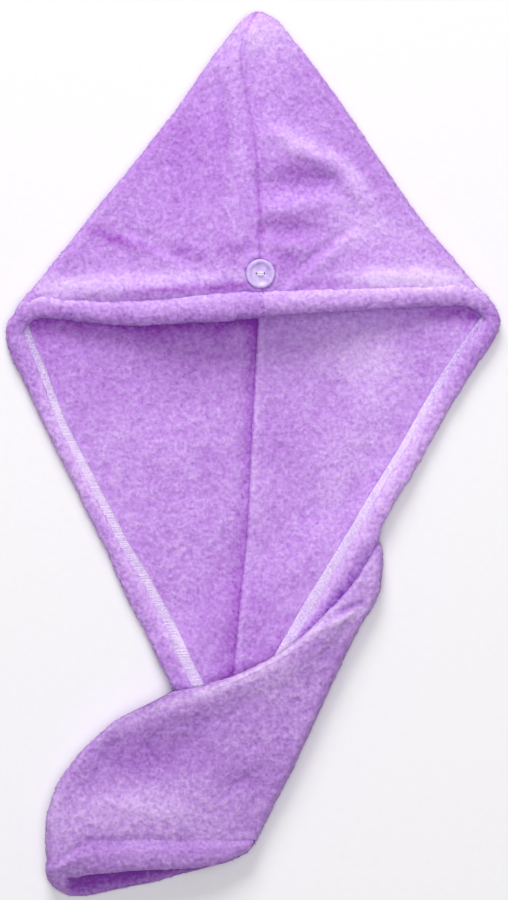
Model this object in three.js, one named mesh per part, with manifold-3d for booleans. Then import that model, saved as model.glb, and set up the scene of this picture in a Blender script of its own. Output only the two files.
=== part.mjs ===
// Hair towel, a fleece hood with a wrapped tail, lying flat on its back layer.
// Millimetres, +Z up, +Y towards the peak of the hood, X = 0 at the middle of the outline.
import * as THREE from 'three';
import { mergeVertices } from 'three/addons/utils/BufferGeometryUtils.js';
import Module from 'manifold-3d';

// Cloth
const WALL = 3;
const GAP = 0.3;
const LILAC = 0xbf92e3;
const DEEP_LILAC = 0xb384da;
const PALE_LILAC = 0xe0ccf4;
const PEARL = 0xeee6f2;
const THREAD_WHITE = 0xf4eefa;
const FLEECE_ROUGHNESS = 0.95;
const STITCH_ROUGHNESS = 0.8;
const PEARL_ROUGHNESS = 0.25;

// Hood
const HOOD_TOP = 214;
const PEAK_TIP = 225.7;
const FOLD_REACH = 5.5;
const FOLD_HEIGHT = 9.5;
const PEAK_FOLD_SHARE = 0.62;
const TIP_ROUNDING = 0.8;
const CALM_SHARE = 0.25;
const CALM_REACH = 12;
const FRONT_STEPS = 10;
const FOLD_STEPS = 6;
const BACK_STEPS = 6;
const FRONT_ROWS = 15;
const FRONT_CROWDING = 1.25;
const RIM_CROWN = 12.5;
const PEAK_CROWN = 2;
const GROOVE_MID = 83.5;

// Outline of the hood, from the rim to the peak, with the line of the front seam between its two sides.
const HOOD_OUTLINE = [
  { y: 76, left: -119, seam: 5.2, right: 124.4 },
  { y: 88.5, left: -108.4, seam: 4.2, right: 111.4 },
  { y: 108.9, left: -92.1, seam: 3.4, right: 94.6 },
  { y: 129.3, left: -76.2, seam: 3.0, right: 79.3 },
  { y: 149.7, left: -59.4, seam: 1.9, right: 65.0 },
  { y: 170.1, left: -43.6, seam: -1.2, right: 51.3 },
  { y: 190.5, left: -29.3, seam: -4.6, right: 36.5 },
  { y: 205, left: -18.6, seam: -6.2, right: 25.4 },
  { y: 214, left: -11.6, seam: -4.4, right: 18.0 },
];

// The tip of the hood, rounded off above HOOD_TOP.
const TIP_ROWS = [
  { y: 217.5, left: -8.6, seam: -3.0, right: 15.2 },
  { y: 220.8, left: -5.6, seam: -1.2, right: 12.2 },
  { y: 223.6, left: -2.6, seam: 0.6, right: 8.8 },
  { y: PEAK_TIP, left: 0.9, seam: 2.4, right: 4.6 },
];

// The stitch groove above the rim hem, from left to right.
const GROOVE = [
  { x: -120, y: 75.6 },
  { x: -98, y: 79.6 },
  { x: -62, y: 78.9 },
  { x: -27, y: 81.3 },
  { x: 0, y: 83.6 },
  { x: 30, y: 83.8 },
  { x: 75, y: 85.9 },
  { x: 125, y: 87.4 },
];

// Folds of the hood's front layer: a raised or sunk line from one place to another.
const HOOD_FOLDS = [
  { fromX: 3, fromY: 166, toX: 22, toY: 165, wide: 5, rise: 2.4 },
  { fromX: 22, fromY: 165, toX: 61, toY: 129, wide: 6, rise: 2.6 },
  { fromX: 8, fromY: 146, toX: 38, toY: 141, wide: 6, rise: -2.2 },
  { fromX: 9, fromY: 122, toX: 34, toY: 117, wide: 6, rise: -1.8 },
  { fromX: 11, fromY: 107, toX: 29, toY: 97, wide: 5, rise: -1.4 },
  { fromX: 20, fromY: 88, toX: 44, toY: 111, wide: 4, rise: 1.6 },
  { fromX: -80, fromY: 121, toX: -28, toY: 98, wide: 5, rise: -1.4 },
  { fromX: -95, fromY: 92, toX: -28, toY: 88, wide: 8, rise: 1.4 },
  { fromX: -11, fromY: 206, toX: -7, toY: 160, wide: 4, rise: 1.2 },
];

// The back seam, down the V and into the tail.
const BACK_SEAM = [
  { y: 90, x: 4.2 },
  { y: 68, x: 2.8 },
  { y: 12, x: -0.3 },
  { y: -39, x: -2.8 },
  { y: -75, x: -6.4 },
  { y: -108, x: -9.4 },
  { y: -146, x: -12 },
];

// Hems. Each row is a place on the middle of the hem.
// round goes from 0 on the front layer to 1 on the back layer.
const HEM_LEFT = [
  { x: 5.1, y: 76.1, wide: 13.2, high: 8, round: 0 },
  { x: -12, y: 75, wide: 14, high: 8, round: 0 },
  { x: -30, y: 73.6, wide: 14, high: 8, round: 0 },
  { x: -47, y: 72.4, wide: 13.2, high: 7.8, round: 0 },
  { x: -64, y: 72.1, wide: 12.8, high: 7.6, round: 0 },
  { x: -82, y: 72.9, wide: 12.2, high: 7.4, round: 0.02 },
  { x: -98, y: 74, wide: 10.6, high: 7.2, round: 0.1 },
  { x: -110, y: 72.2, wide: 9, high: 7, round: 0.2 },
  { x: -118.4, y: 68.2, wide: 9, high: 7, round: 0.55 },
  { x: -121.8, y: 62.5, wide: 9, high: 6.8, round: 0.85 },
  { x: -120.4, y: 54, wide: 9, high: 6.6, round: 1 },
  { x: -116.2, y: 45, wide: 9.2, high: 6.4, round: 1 },
  { x: -108.2, y: 29.4, wide: 9.6, high: 6.2, round: 1 },
  { x: -93.3, y: -1.1, wide: 10, high: 6, round: 1 },
  { x: -77.9, y: -31.7, wide: 10, high: 6, round: 1 },
  { x: -63.1, y: -62.3, wide: 10, high: 6, round: 1 },
  { x: -48.8, y: -92.9, wide: 10, high: 6, round: 1 },
  { x: -39, y: -113.2, wide: 9.6, high: 5.6, round: 1 },
  { x: -31.5, y: -125, wide: 9, high: 5, round: 1 },
  { x: -25, y: -134, wide: 8.6, high: 4.4, round: 1 },
];
const HEM_RIGHT = [
  { x: 5.4, y: 76.2, wide: 13.2, high: 8, round: 0 },
  { x: 24, y: 77.3, wide: 12.2, high: 8, round: 0 },
  { x: 50, y: 78.7, wide: 11.6, high: 7.8, round: 0 },
  { x: 75, y: 80, wide: 11.2, high: 7.6, round: 0 },
  { x: 94, y: 81, wide: 10.8, high: 7.4, round: 0.05 },
  { x: 107, y: 81, wide: 10, high: 7.2, round: 0.25 },
  { x: 116, y: 78, wide: 9.4, high: 7, round: 0.5 },
  { x: 121.4, y: 71.8, wide: 9, high: 7, round: 0.75 },
  { x: 121.9, y: 64.8, wide: 8.8, high: 6.8, round: 0.92 },
  { x: 118.6, y: 57.5, wide: 8.4, high: 6.6, round: 1 },
  { x: 113.2, y: 49.6, wide: 8.2, high: 6.4, round: 1 },
  { x: 99.7, y: 29.4, wide: 8.6, high: 6.2, round: 1 },
  { x: 81.2, y: -0.9, wide: 9.6, high: 6, round: 1 },
  { x: 63.4, y: -31.2, wide: 10.8, high: 6, round: 1 },
  { x: 45.8, y: -61.8, wide: 10.8, high: 6, round: 1 },
  { x: 31.1, y: -87.3, wide: 10.4, high: 5.8, round: 1 },
  { x: 22, y: -103, wide: 9.6, high: 5, round: 1 },
  { x: 15.6, y: -114.4, wide: 7.4, high: 3.6, round: 1 },
];
const HEM_STEPS = 40;
const HEM_LOOK = 0.25;
const HEM_SIDES = 12;
const HEM_SQUARENESS = 0.75;
const HEM_CLEAR = 1.1;

// Back layer between the corner of the hood and the straight of the V.
const CORNER_EDGE = [
  { y: 84, left: -106.5, right: 108.5 },
  { y: 76, left: -110.5, right: 112.5 },
  { y: 68, left: -114.2, right: 116.2 },
  { y: 60, left: -115.6, right: 114.2 },
  { y: 54, left: -114.4, right: 110.2 },
  { y: 45, left: -110.4, right: 104.6 },
];
const CORNER_BLEND = 14;
// The sections of the back layer below the rim, from its hidden end up.
const BACK_ROWS = [-146, -132, -118, -104, -90, -76, -62, -46, -28, -6, 20, 45, 54, 60, 68, 76];
// The back layer rises over the tail between these distances from the tail's first section.
const LIFT_NEAR = 9;
const LIFT_FAR = 34;
const LIFT_CLEAR = 0.6;

// Bindings, the pale lines along the inner edge of the hems.
const BINDING_TOP = 64;
const BINDING_HIGH = 1.5;
const BINDING_CLEAR = 0.6;
const BINDING_LEFT = { end: -124, topWide: 2.6, footWide: 4 };
const BINDING_RIGHT = { end: -98, topWide: 2, footWide: 4.6 };
const BINDING_STEPS = 20;
const BINDING_SIDES = 8;

// Tail. Each row is a section of the sleeve, from the wrapped ridge to the mouth.
// left and right are the places of its two folds.
// bow is how far the middle of the upper layer runs ahead of the straight line between the folds.
const TAIL = [
  { left: [-46.4, -125], right: [65.6, -43], bow: 17, leftHigh: 13.4, rightHigh: 9, crown: 2.6 },
  { left: [-55, -129.4], right: [66.4, -58], bow: 13, leftHigh: 13, rightHigh: 9.6, crown: 2.6 },
  { left: [-68, -135], right: [63.4, -74.4], bow: 8, leftHigh: 12.4, rightHigh: 10.4, crown: 2.4 },
  { left: [-81.5, -146.1], right: [54, -89.4], bow: 5, leftHigh: 11.8, rightHigh: 11, crown: 2 },
  { left: [-91.3, -156.6], right: [42.6, -113], bow: 3, leftHigh: 11.4, rightHigh: 11, crown: 1.8 },
  { left: [-98.3, -166.8], right: [32.2, -135.4], bow: 2, leftHigh: 11.4, rightHigh: 11, crown: 1.8 },
  { left: [-103, -177], right: [22.6, -156.4], bow: 1, leftHigh: 11.6, rightHigh: 11, crown: 2 },
  { left: [-105.4, -187], right: [12.2, -176.8], bow: 0, leftHigh: 12, rightHigh: 10.6, crown: 2.4 },
  { left: [-106, -196.5], right: [2.6, -196.5], bow: 0, leftHigh: 12.6, rightHigh: 10.2, crown: 2.8 },
];
const TAIL_FOLDS = [
  { fromX: 44, fromY: -80, toX: 24, toY: -97, wide: 6, rise: 2.4 },
  { fromX: 24, fromY: -97, toX: -4, toY: -110, wide: 6.5, rise: 3.6 },
  { fromX: -4, fromY: -110, toX: -42, toY: -124, wide: 6, rise: 2.6 },
  { fromX: 40, fromY: -104, toX: -30, toY: -140, wide: 8, rise: -1.6 },
  { fromX: -60, fromY: -150, toX: -86, toY: -186, wide: 10, rise: 1.2 },
  { fromX: -30, fromY: -150, toX: -44, toY: -192, wide: 9, rise: -1.2 },
];
const TAIL_FOLD_REACH = 6.5;
const TAIL_FOLD_TIGHT = 3.3;
const TAIL_TIGHT_SECTIONS = 2;
const TAIL_ROWS = 19;
const TAIL_SPAN_STEPS = 11;
const TAIL_FOLD_STEPS = 5;

// Mouth of the tail. upper and lower are how far each layer's hem reaches.
// The lower one shows beyond the upper one.
const MOUTH = [
  { x: -104, upper: -218.2, lower: -223 },
  { x: -95.5, upper: -217, lower: -224.6 },
  { x: -85, upper: -214.6, lower: -225.7 },
  { x: -65, upper: -212.4, lower: -222 },
  { x: -44, upper: -211.6, lower: -217.2 },
  { x: -27, upper: -211, lower: -214.2 },
  { x: -13, upper: -207.6, lower: -209 },
  { x: -1.8, upper: -204.6, lower: -206.4 },
];
const MOUTH_LEFT = -104;
const MOUTH_RIGHT = -1.8;
const MOUTH_WALL = 4.4;
const MOUTH_BULGE = 0.9;
const MOUTH_ROWS = 6;
const SWELL_START = 0.1;
const SWELL_TURN = 0.9;

// Button
const BUTTON_X = 3.8;
const BUTTON_Y = 91.6;
const BUTTON_RADIUS = 7.4;
const BUTTON_THICK = 2.6;
const BUTTON_DISH = 0.9;
// The button's section: how far in from its edge, and how high in shares of its thickness.
const BUTTON_EDGE = [
  { inset: 0.8, height: 0 },
  { inset: 0, height: 0.35 },
  { inset: 0, height: 0.75 },
  { inset: 0.7, height: 1 },
  { inset: 1.7, height: 0.95 },
];
const DISH_INSET = 2.6;
const BUTTON_SIDES = 28;
const HOLE_RADIUS = 0.9;
const HOLE_SPACING = 3.4;
const HOLE_SIDES = 10;
const THREAD_RADIUS = 0.55;
const THREAD_SIDES = 6;
const THREAD_STEPS = 12;
const THREAD_SHOULDER = 0.65;
const SEAT_FLAT = 11;
const SEAT_EASE = 8;
const SEAT_HEIGHT = 20.2;

// Small helpers

const mix = (a, b, share) => a + (b - a) * share;

function ease(low, high, value) {
  return THREE.MathUtils.smoothstep(value, low, high);
}

// One column of a table at a place along its key, on a smooth curve through the rows.
function along(table, key, place, column) {
  const last = table.length - 1;
  const direction = Math.sign(table[last][key] - table[0][key]);
  let row = 0;
  while (row < last - 1 && (place - table[row + 1][key]) * direction > 0) row += 1;
  const slope = (n) => {
    const before = table[Math.max(n - 1, 0)];
    const after = table[Math.min(n + 1, last)];
    return (after[column] - before[column]) / (after[key] - before[key]);
  };
  const step = table[row + 1][key] - table[row][key];
  const share = THREE.MathUtils.clamp((place - table[row][key]) / step, 0, 1);
  const bent = share * share * (3 - 2 * share);
  const lead = share * (1 - share) * (1 - share) * step;
  const lag = share * share * (1 - share) * step;
  return mix(table[row][column], table[row + 1][column], bent) + lead * slope(row) - lag * slope(row + 1);
}

// Height added at a place by a table of straight folds, each one fading out sideways and past its ends.
function foldsAt(folds, x, y) {
  let sum = 0;
  for (const fold of folds) {
    const alongX = fold.toX - fold.fromX;
    const alongY = fold.toY - fold.fromY;
    const reach = alongX * alongX + alongY * alongY;
    const ahead = ((x - fold.fromX) * alongX + (y - fold.fromY) * alongY) / reach;
    const share = THREE.MathUtils.clamp(ahead, 0, 1);
    const away = Math.hypot(x - fold.fromX - share * alongX, y - fold.fromY - share * alongY);
    sum += fold.rise * Math.exp(-((away / fold.wide) ** 2));
  }
  return sum;
}

function solidGeometry(points, triangles) {
  const geometry = new THREE.BufferGeometry();
  const values = points.flatMap((point) => point.toArray());
  geometry.setAttribute('position', new THREE.Float32BufferAttribute(values, 3));
  const volume = (a, b, c) => points[a].dot(new THREE.Vector3().crossVectors(points[b], points[c]));
  const inward = triangles.reduce((sum, [a, b, c]) => sum + volume(a, b, c), 0) < 0;
  geometry.setIndex(triangles.flatMap(([a, b, c]) => (inward ? [a, c, b] : [a, b, c])));
  return geometry;
}

// A closed cloth: a face and a lining over the same grid, joined wherever a cell has no neighbour.
// A ring grid closes on itself from its last column to its first.
function clothSolid({ rows, columns, face, lining, exists = () => true, ring = false }) {
  const points = [];
  const places = new Map();
  const corner = (side, row, column) => {
    const wrapped = ring ? (column + columns) % columns : column;
    const name = `${side} ${row} ${wrapped}`;
    if (!places.has(name)) {
      places.set(name, points.length);
      points.push(side === 'face' ? face(row, wrapped) : lining(row, wrapped));
    }
    return places.get(name);
  };
  const cells = ring ? columns : columns - 1;
  const isCell = (row, column) => {
    const wrapped = ring ? (column + columns) % columns : column;
    return row >= 0 && row < rows - 1 && wrapped >= 0 && wrapped < cells && exists(row, wrapped);
  };
  const triangles = [];
  const addQuad = (a, b, c, d) => triangles.push([a, b, c], [a, c, d]);
  const addEdge = (rowA, columnA, rowB, columnB) => addQuad(
    corner('face', rowB, columnB),
    corner('face', rowA, columnA),
    corner('lining', rowA, columnA),
    corner('lining', rowB, columnB),
  );
  for (let row = 0; row < rows - 1; row += 1) {
    for (let column = 0; column < cells; column += 1) {
      if (isCell(row, column)) {
        const square = [[row, column], [row, column + 1], [row + 1, column + 1], [row + 1, column]];
        addQuad(...square.map(([r, c]) => corner('face', r, c)));
        addQuad(...square.map(([r, c]) => corner('lining', r, c)).reverse());
        if (!isCell(row - 1, column)) addEdge(row, column, row, column + 1);
        if (!isCell(row, column + 1)) addEdge(row, column + 1, row + 1, column + 1);
        if (!isCell(row + 1, column)) addEdge(row + 1, column + 1, row + 1, column);
        if (!isCell(row, column - 1)) addEdge(row + 1, column, row, column);
      }
    }
  }
  return solidGeometry(points, triangles);
}

// A closed solid through rings of points, its two ends closed by fans.
function loft(rings) {
  const sides = rings[0].length;
  const points = rings.flat();
  const triangles = [];
  for (let ring = 0; ring < rings.length - 1; ring += 1) {
    for (let side = 0; side < sides; side += 1) {
      const a = ring * sides + side;
      const b = ring * sides + ((side + 1) % sides);
      triangles.push([a, b, b + sides], [a, b + sides, a + sides]);
    }
  }
  for (const [ring, turned] of [[0, true], [rings.length - 1, false]]) {
    const middle = points.length;
    const centre = new THREE.Vector3();
    rings[ring].forEach((point) => centre.addScaledVector(point, 1 / sides));
    points.push(centre);
    for (let side = 0; side < sides; side += 1) {
      const a = ring * sides + side;
      const b = ring * sides + ((side + 1) % sides);
      triangles.push(turned ? [middle, b, a] : [middle, a, b]);
    }
  }
  return solidGeometry(points, triangles);
}

const wasm = await Module();
wasm.setup();

// Joins or cuts solids, operation being add or subtract.
function combine(first, operation, ...others) {
  const solidOf = (geometry) => {
    const bare = geometry.clone();
    bare.deleteAttribute('normal');
    bare.deleteAttribute('uv');
    const merged = mergeVertices(bare);
    return new wasm.Manifold(new wasm.Mesh({
      numProp: 3,
      vertProperties: merged.attributes.position.array,
      triVerts: Uint32Array.from(merged.index.array),
    }));
  };
  const result = others.reduce((solid, other) => solid[operation](solidOf(other)), solidOf(first)).getMesh();
  const geometry = new THREE.BufferGeometry();
  geometry.setAttribute('position', new THREE.BufferAttribute(result.vertProperties, 3));
  geometry.setIndex(new THREE.BufferAttribute(result.triVerts, 1));
  return geometry;
}

function piece(name, geometry, colour, roughness) {
  const flat = geometry.index ? geometry.toNonIndexed() : geometry;
  flat.computeVertexNormals();
  const material = new THREE.MeshStandardMaterial({ color: colour, roughness, metalness: 0 });
  const mesh = new THREE.Mesh(flat, material);
  mesh.name = name;
  return mesh;
}

// Form of the hood and the back layer

const HOOD_ROWS = [...HOOD_OUTLINE, ...TIP_ROWS];
const LEFT = { edge: 'left', outward: -1, hem: HEM_LEFT, hemTurn: 8, binding: BINDING_LEFT };
const RIGHT = { edge: 'right', outward: 1, hem: HEM_RIGHT, hemTurn: 7, binding: BINDING_RIGHT };

const seamX = (y) => along(HOOD_ROWS, 'y', y, 'seam');
const edgeX = (side, y) => along(HOOD_ROWS, 'y', y, side.edge);
const grooveY = (x) => along(GROOVE, 'x', x, 'y');

function foldReach(side, y) {
  return Math.min(FOLD_REACH, PEAK_FOLD_SHARE * Math.abs(edgeX(side, y) - seamX(y)));
}

// The hood's height at its side folds, which rounds off over the tip.
function foldHeight(y) {
  const over = Math.max(0, y - HOOD_TOP) / (PEAK_TIP - HOOD_TOP);
  return FOLD_HEIGHT * Math.sqrt(1 - TIP_ROUNDING * over * over);
}

// Height of the hood's outer face. It lies flat under the button.
function frontTop(x, y) {
  const side = x < seamX(y) ? LEFT : RIGHT;
  const span = Math.abs(edgeX(side, y) - seamX(y)) - foldReach(side, y);
  const share = THREE.MathUtils.clamp(Math.abs(x - seamX(y)) / span, 0, 1);
  const overTip = 1 - ease(HOOD_TOP, PEAK_TIP, y);
  const fullness = mix(RIM_CROWN, PEAK_CROWN, ease(GROOVE_MID, HOOD_TOP, y));
  const crown = overTip * fullness * Math.cos(share * Math.PI / 2) ** 2;
  const calm = ease(0, CALM_SHARE, 1 - share) * (1 - ease(HOOD_TOP - CALM_REACH, HOOD_TOP, y));
  const free = foldHeight(y) + crown + calm * foldsAt(HOOD_FOLDS, x, y);
  const fromButton = Math.hypot(x - BUTTON_X, y - BUTTON_Y);
  return mix(SEAT_HEIGHT, free, ease(SEAT_FLAT, SEAT_FLAT + SEAT_EASE, fromButton));
}

// The back layer is lifted where it lies on the tail.
function liftAt(x, y) {
  const [leftX, leftY] = TAIL[0].left;
  const [rightX, rightY] = TAIL[0].right;
  const acrossX = rightX - leftX;
  const acrossY = rightY - leftY;
  const away = ((y - leftY) * acrossX - (x - leftX) * acrossY) / Math.hypot(acrossX, acrossY);
  return (WALL + LIFT_CLEAR) * (1 - ease(LIFT_NEAR, LIFT_FAR, away));
}

// The inner line of a hem on the back layer, moved inwards by clear.
function hemInnerX(side, y, clear) {
  const rows = side.hem.slice(side.hemTurn);
  const spot = Math.max(y, rows[rows.length - 1].y + 1);
  const slope = (along(rows, 'y', spot + 1, 'x') - along(rows, 'y', spot - 1, 'x')) / 2;
  const away = along(rows, 'y', spot, 'wide') / 2 + clear;
  return along(rows, 'y', spot, 'x') - side.outward * away * Math.hypot(1, slope);
}

function backEdgeX(side, y) {
  const cornerFoot = CORNER_EDGE[CORNER_EDGE.length - 1].y;
  const nearCorner = ease(cornerFoot - CORNER_BLEND, cornerFoot, y);
  return mix(hemInnerX(side, y, HEM_CLEAR), along(CORNER_EDGE, 'y', y, side.edge), nearCorner);
}

// One panel: the front layer, the side fold and the back layer, and below the rim the back layer alone.
function panelGeometry(side) {
  const foldStart = FRONT_STEPS;
  const foldEnd = FRONT_STEPS + FOLD_STEPS;
  const columns = foldEnd + BACK_STEPS + 1;
  const seamGap = side.outward * GAP / 2;
  const backShare = (column) => (columns - 1 - column) / BACK_STEPS;
  const hoodPoint = (level, column, inset) => {
    const frontShare = (column / foldStart) ** FRONT_CROWDING;
    const share = column <= foldStart ? frontShare : Math.min(1, backShare(column));
    const roughX = mix(seamX(level), edgeX(side, level), share);
    const slant = 1 - ease(GROOVE_MID, HOOD_TOP, level);
    const y = level + (grooveY(roughX) + GAP / 2 - GROOVE_MID) * slant;
    const seam = seamX(y) + seamGap;
    const reach = foldReach(side, y);
    const foldX = edgeX(side, y) - side.outward * reach;
    const x = mix(seam, foldX, share);
    if (column <= foldStart) return new THREE.Vector3(x, y, frontTop(x, y) - inset);
    if (column >= foldEnd) return new THREE.Vector3(x, y, inset);
    const turn = Math.PI / 2 - Math.PI * (column - foldStart) / FOLD_STEPS;
    const middle = foldHeight(y) / 2;
    const roundX = foldX + side.outward * (reach - inset) * Math.cos(turn);
    return new THREE.Vector3(roundX, y, middle + (middle - inset) * Math.sin(turn));
  };
  const backPoint = (y, column, inset) => {
    const seam = along(BACK_SEAM, 'y', y, 'x') + seamGap;
    const x = mix(seam, backEdgeX(side, y), backShare(column));
    return new THREE.Vector3(x, y, inset + liftAt(x, y));
  };
  const place = (inset) => (row, column) => {
    if (row < BACK_ROWS.length) return backPoint(BACK_ROWS[row], column, inset);
    const share = ((row - BACK_ROWS.length) / (FRONT_ROWS - 1)) ** FRONT_CROWDING;
    return hoodPoint(mix(GROOVE_MID, HOOD_TOP, share), column, inset);
  };
  const cloth = clothSolid({
    rows: BACK_ROWS.length + FRONT_ROWS,
    columns,
    face: place(0),
    lining: place(WALL),
    exists: (row, column) => row >= BACK_ROWS.length || column >= foldEnd,
  });
  const lastShare = ((FRONT_ROWS - 2) / (FRONT_ROWS - 1)) ** FRONT_CROWDING;
  const tipLevels = [mix(GROOVE_MID, HOOD_TOP, lastShare), HOOD_TOP, ...TIP_ROWS.map((row) => row.y)];
  const tipRing = (level) => Array.from({ length: columns }, (_, column) => hoodPoint(level, column, 0));
  return combine(cloth, 'add', loft(tipLevels.map(tipRing)));
}

// Hems and bindings

// A closed band along a path, each station giving its place, heading, width and height.
function bandGeometry(stations, sides) {
  const rounded = (value) => Math.sign(value) * Math.abs(value) ** HEM_SQUARENESS;
  const ringAt = ({ centre, heading, wide, high }) => Array.from({ length: sides }, (_, side) => {
    const turn = 2 * Math.PI * side / sides;
    const sideways = rounded(Math.cos(turn)) * wide / 2;
    const up = rounded(Math.sin(turn)) * high / 2;
    const x = centre.x - heading.y * sideways;
    const y = centre.y + heading.x * sideways;
    return new THREE.Vector3(x, y, centre.z + up);
  });
  return loft(stations.map(ringAt));
}

function hemGeometry(side) {
  const rows = side.hem.map((row, index) => ({ ...row, index }));
  const at = (index, column) => along(rows, 'index', index, column);
  const last = rows.length - 1;
  const stations = Array.from({ length: HEM_STEPS + 1 }, (_, step) => {
    const index = last * step / HEM_STEPS;
    const centre = new THREE.Vector3(at(index, 'x'), at(index, 'y'), 0);
    const ahead = Math.min(index + HEM_LOOK, last);
    const behind = Math.max(index - HEM_LOOK, 0);
    const heading = new THREE.Vector2(at(ahead, 'x') - at(behind, 'x'), at(ahead, 'y') - at(behind, 'y'));
    heading.normalize();
    const high = at(index, 'high');
    const round = THREE.MathUtils.clamp(at(index, 'round'), 0, 1);
    const overFront = frontTop(centre.x, centre.y) - WALL / 2;
    centre.z = mix(overFront, liftAt(centre.x, centre.y) + high / 2, round);
    return { centre, heading, wide: at(index, 'wide'), high };
  });
  return bandGeometry(stations, HEM_SIDES);
}

function bindingGeometry(side) {
  const stations = Array.from({ length: BINDING_STEPS + 1 }, (_, step) => {
    const share = step / BINDING_STEPS;
    const y = mix(BINDING_TOP, side.binding.end, share);
    const wide = mix(side.binding.topWide, side.binding.footWide, share);
    const x = hemInnerX(side, y, GAP + wide / 2);
    const slope = hemInnerX(side, y - 1, GAP + wide / 2) - x;
    const heading = new THREE.Vector2(slope, -1).normalize();
    const centre = new THREE.Vector3(x, y, liftAt(x, y) + WALL + BINDING_CLEAR + BINDING_HIGH / 2);
    return { centre, heading, wide, high: BINDING_HIGH };
  });
  return bandGeometry(stations, BINDING_SIDES);
}

// Tail

const TAIL_SECTIONS = TAIL.map((row, index) => {
  const [leftX, leftY] = row.left;
  const [rightX, rightY] = row.right;
  return { ...row, index, leftX, leftY, rightX, rightY };
});
const TAIL_LAST = TAIL.length - 1;
const TAIL_COLUMNS = 2 * TAIL_SPAN_STEPS + 2 * TAIL_FOLD_STEPS;

// Where a column of the tail's ring lies: on the upper layer, round the right fold, on the lower layer
// or round the left fold.
function tailColumn(column) {
  const rightFold = TAIL_SPAN_STEPS;
  const lower = rightFold + TAIL_FOLD_STEPS;
  const leftFold = lower + TAIL_SPAN_STEPS;
  if (column <= rightFold) return { share: column / TAIL_SPAN_STEPS, turn: 0, end: 0 };
  if (column < lower) return { share: 1, turn: (column - rightFold) / TAIL_FOLD_STEPS, end: 1 };
  if (column <= leftFold) return { share: 1 - (column - lower) / TAIL_SPAN_STEPS, turn: 1, end: 0 };
  return { share: 0, turn: 1 - (column - leftFold) / TAIL_FOLD_STEPS, end: -1 };
}

// A point of the tail at a section, a column and a distance in from its outer face.
function tailPoint(section, column, inset) {
  const at = (name) => along(TAIL_SECTIONS, 'index', section, name);
  const { share, turn, end } = tailColumn(column);
  const left = new THREE.Vector2(at('leftX'), at('leftY'));
  const right = new THREE.Vector2(at('rightX'), at('rightY'));
  const across = right.clone().sub(left).normalize();
  const rightReach = mix(TAIL_FOLD_TIGHT, TAIL_FOLD_REACH, ease(0, TAIL_TIGHT_SECTIONS, section));
  left.addScaledVector(across, TAIL_FOLD_REACH);
  right.addScaledVector(across, -rightReach);
  const flat = left.clone().lerp(right, share);
  if (end !== 0) {
    const high = end > 0 ? at('rightHigh') : at('leftHigh');
    const reach = end > 0 ? rightReach : TAIL_FOLD_REACH;
    const angle = Math.PI / 2 - Math.PI * turn;
    flat.addScaledVector(across, end * (reach - inset) * Math.cos(angle));
    return new THREE.Vector3(flat.x, flat.y, high / 2 + (high / 2 - inset) * Math.sin(angle));
  }
  if (turn === 1) return new THREE.Vector3(flat.x, flat.y, inset);
  const ahead = at('bow') * 4 * share * (1 - share);
  flat.x += across.y * ahead;
  flat.y -= across.x * ahead;
  const calm = ease(0, CALM_SHARE, 1 - Math.abs(2 * share - 1));
  const crown = at('crown') * Math.sin(Math.PI * share);
  const folds = calm * foldsAt(TAIL_FOLDS, flat.x, flat.y);
  const ends = mix(at('leftHigh'), at('rightHigh'), share);
  return new THREE.Vector3(flat.x, flat.y, ends + crown + folds - inset);
}

function tailGeometry() {
  const section = (row) => TAIL_LAST * row / (TAIL_ROWS - 1);
  return clothSolid({
    rows: TAIL_ROWS,
    columns: TAIL_COLUMNS,
    ring: true,
    face: (row, column) => tailPoint(section(row), column, 0),
    lining: (row, column) => tailPoint(section(row), column, WALL),
  });
}

// The hem round the mouth goes on from the tail's last section and swells between its stitches and its lip.
function tailHemGeometry() {
  const point = (row, column, isLining) => {
    const out = row / (MOUTH_ROWS - 1);
    const { share, turn } = tailColumn(column);
    const swell = Math.sin(Math.PI * Math.min(1, SWELL_START + out * (1 - SWELL_START)) * SWELL_TURN);
    const wall = mix(WALL, MOUTH_WALL, swell);
    const spot = tailPoint(TAIL_LAST, column, isLining ? wall : 0);
    const lipX = mix(MOUTH_LEFT, MOUTH_RIGHT, share);
    const lipY = mix(along(MOUTH, 'x', lipX, 'upper'), along(MOUTH, 'x', lipX, 'lower'), turn);
    const grooveX = mix(TAIL_SECTIONS[TAIL_LAST].leftX, TAIL_SECTIONS[TAIL_LAST].rightX, share);
    spot.x += (lipX - grooveX) * out;
    spot.y = mix(spot.y - GAP, lipY, out);
    spot.z += MOUTH_BULGE * swell * (1 - turn);
    return spot;
  };
  return clothSolid({
    rows: MOUTH_ROWS,
    columns: TAIL_COLUMNS,
    ring: true,
    face: (row, column) => point(row, column, false),
    lining: (row, column) => point(row, column, true),
  });
}

// Button and its thread

function buttonGeometry() {
  const point = (inset, height) => new THREE.Vector2(BUTTON_RADIUS - inset, height);
  const dish = BUTTON_THICK - BUTTON_DISH;
  const edge = BUTTON_EDGE.map(({ inset, height }) => point(inset, BUTTON_THICK * height));
  const profile = [point(BUTTON_RADIUS, 0), ...edge, point(DISH_INSET, dish), point(BUTTON_RADIUS, dish)];
  const disc = new THREE.LatheGeometry(profile, BUTTON_SIDES);
  disc.rotateX(Math.PI / 2);
  const holes = [-1, 1].map((end) => {
    const hole = new THREE.CylinderGeometry(HOLE_RADIUS, HOLE_RADIUS, 3 * BUTTON_THICK, HOLE_SIDES);
    hole.rotateX(Math.PI / 2);
    hole.translate(end * HOLE_SPACING / 2, 0, 0);
    return hole;
  });
  return combine(disc, 'subtract', ...holes);
}

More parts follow.
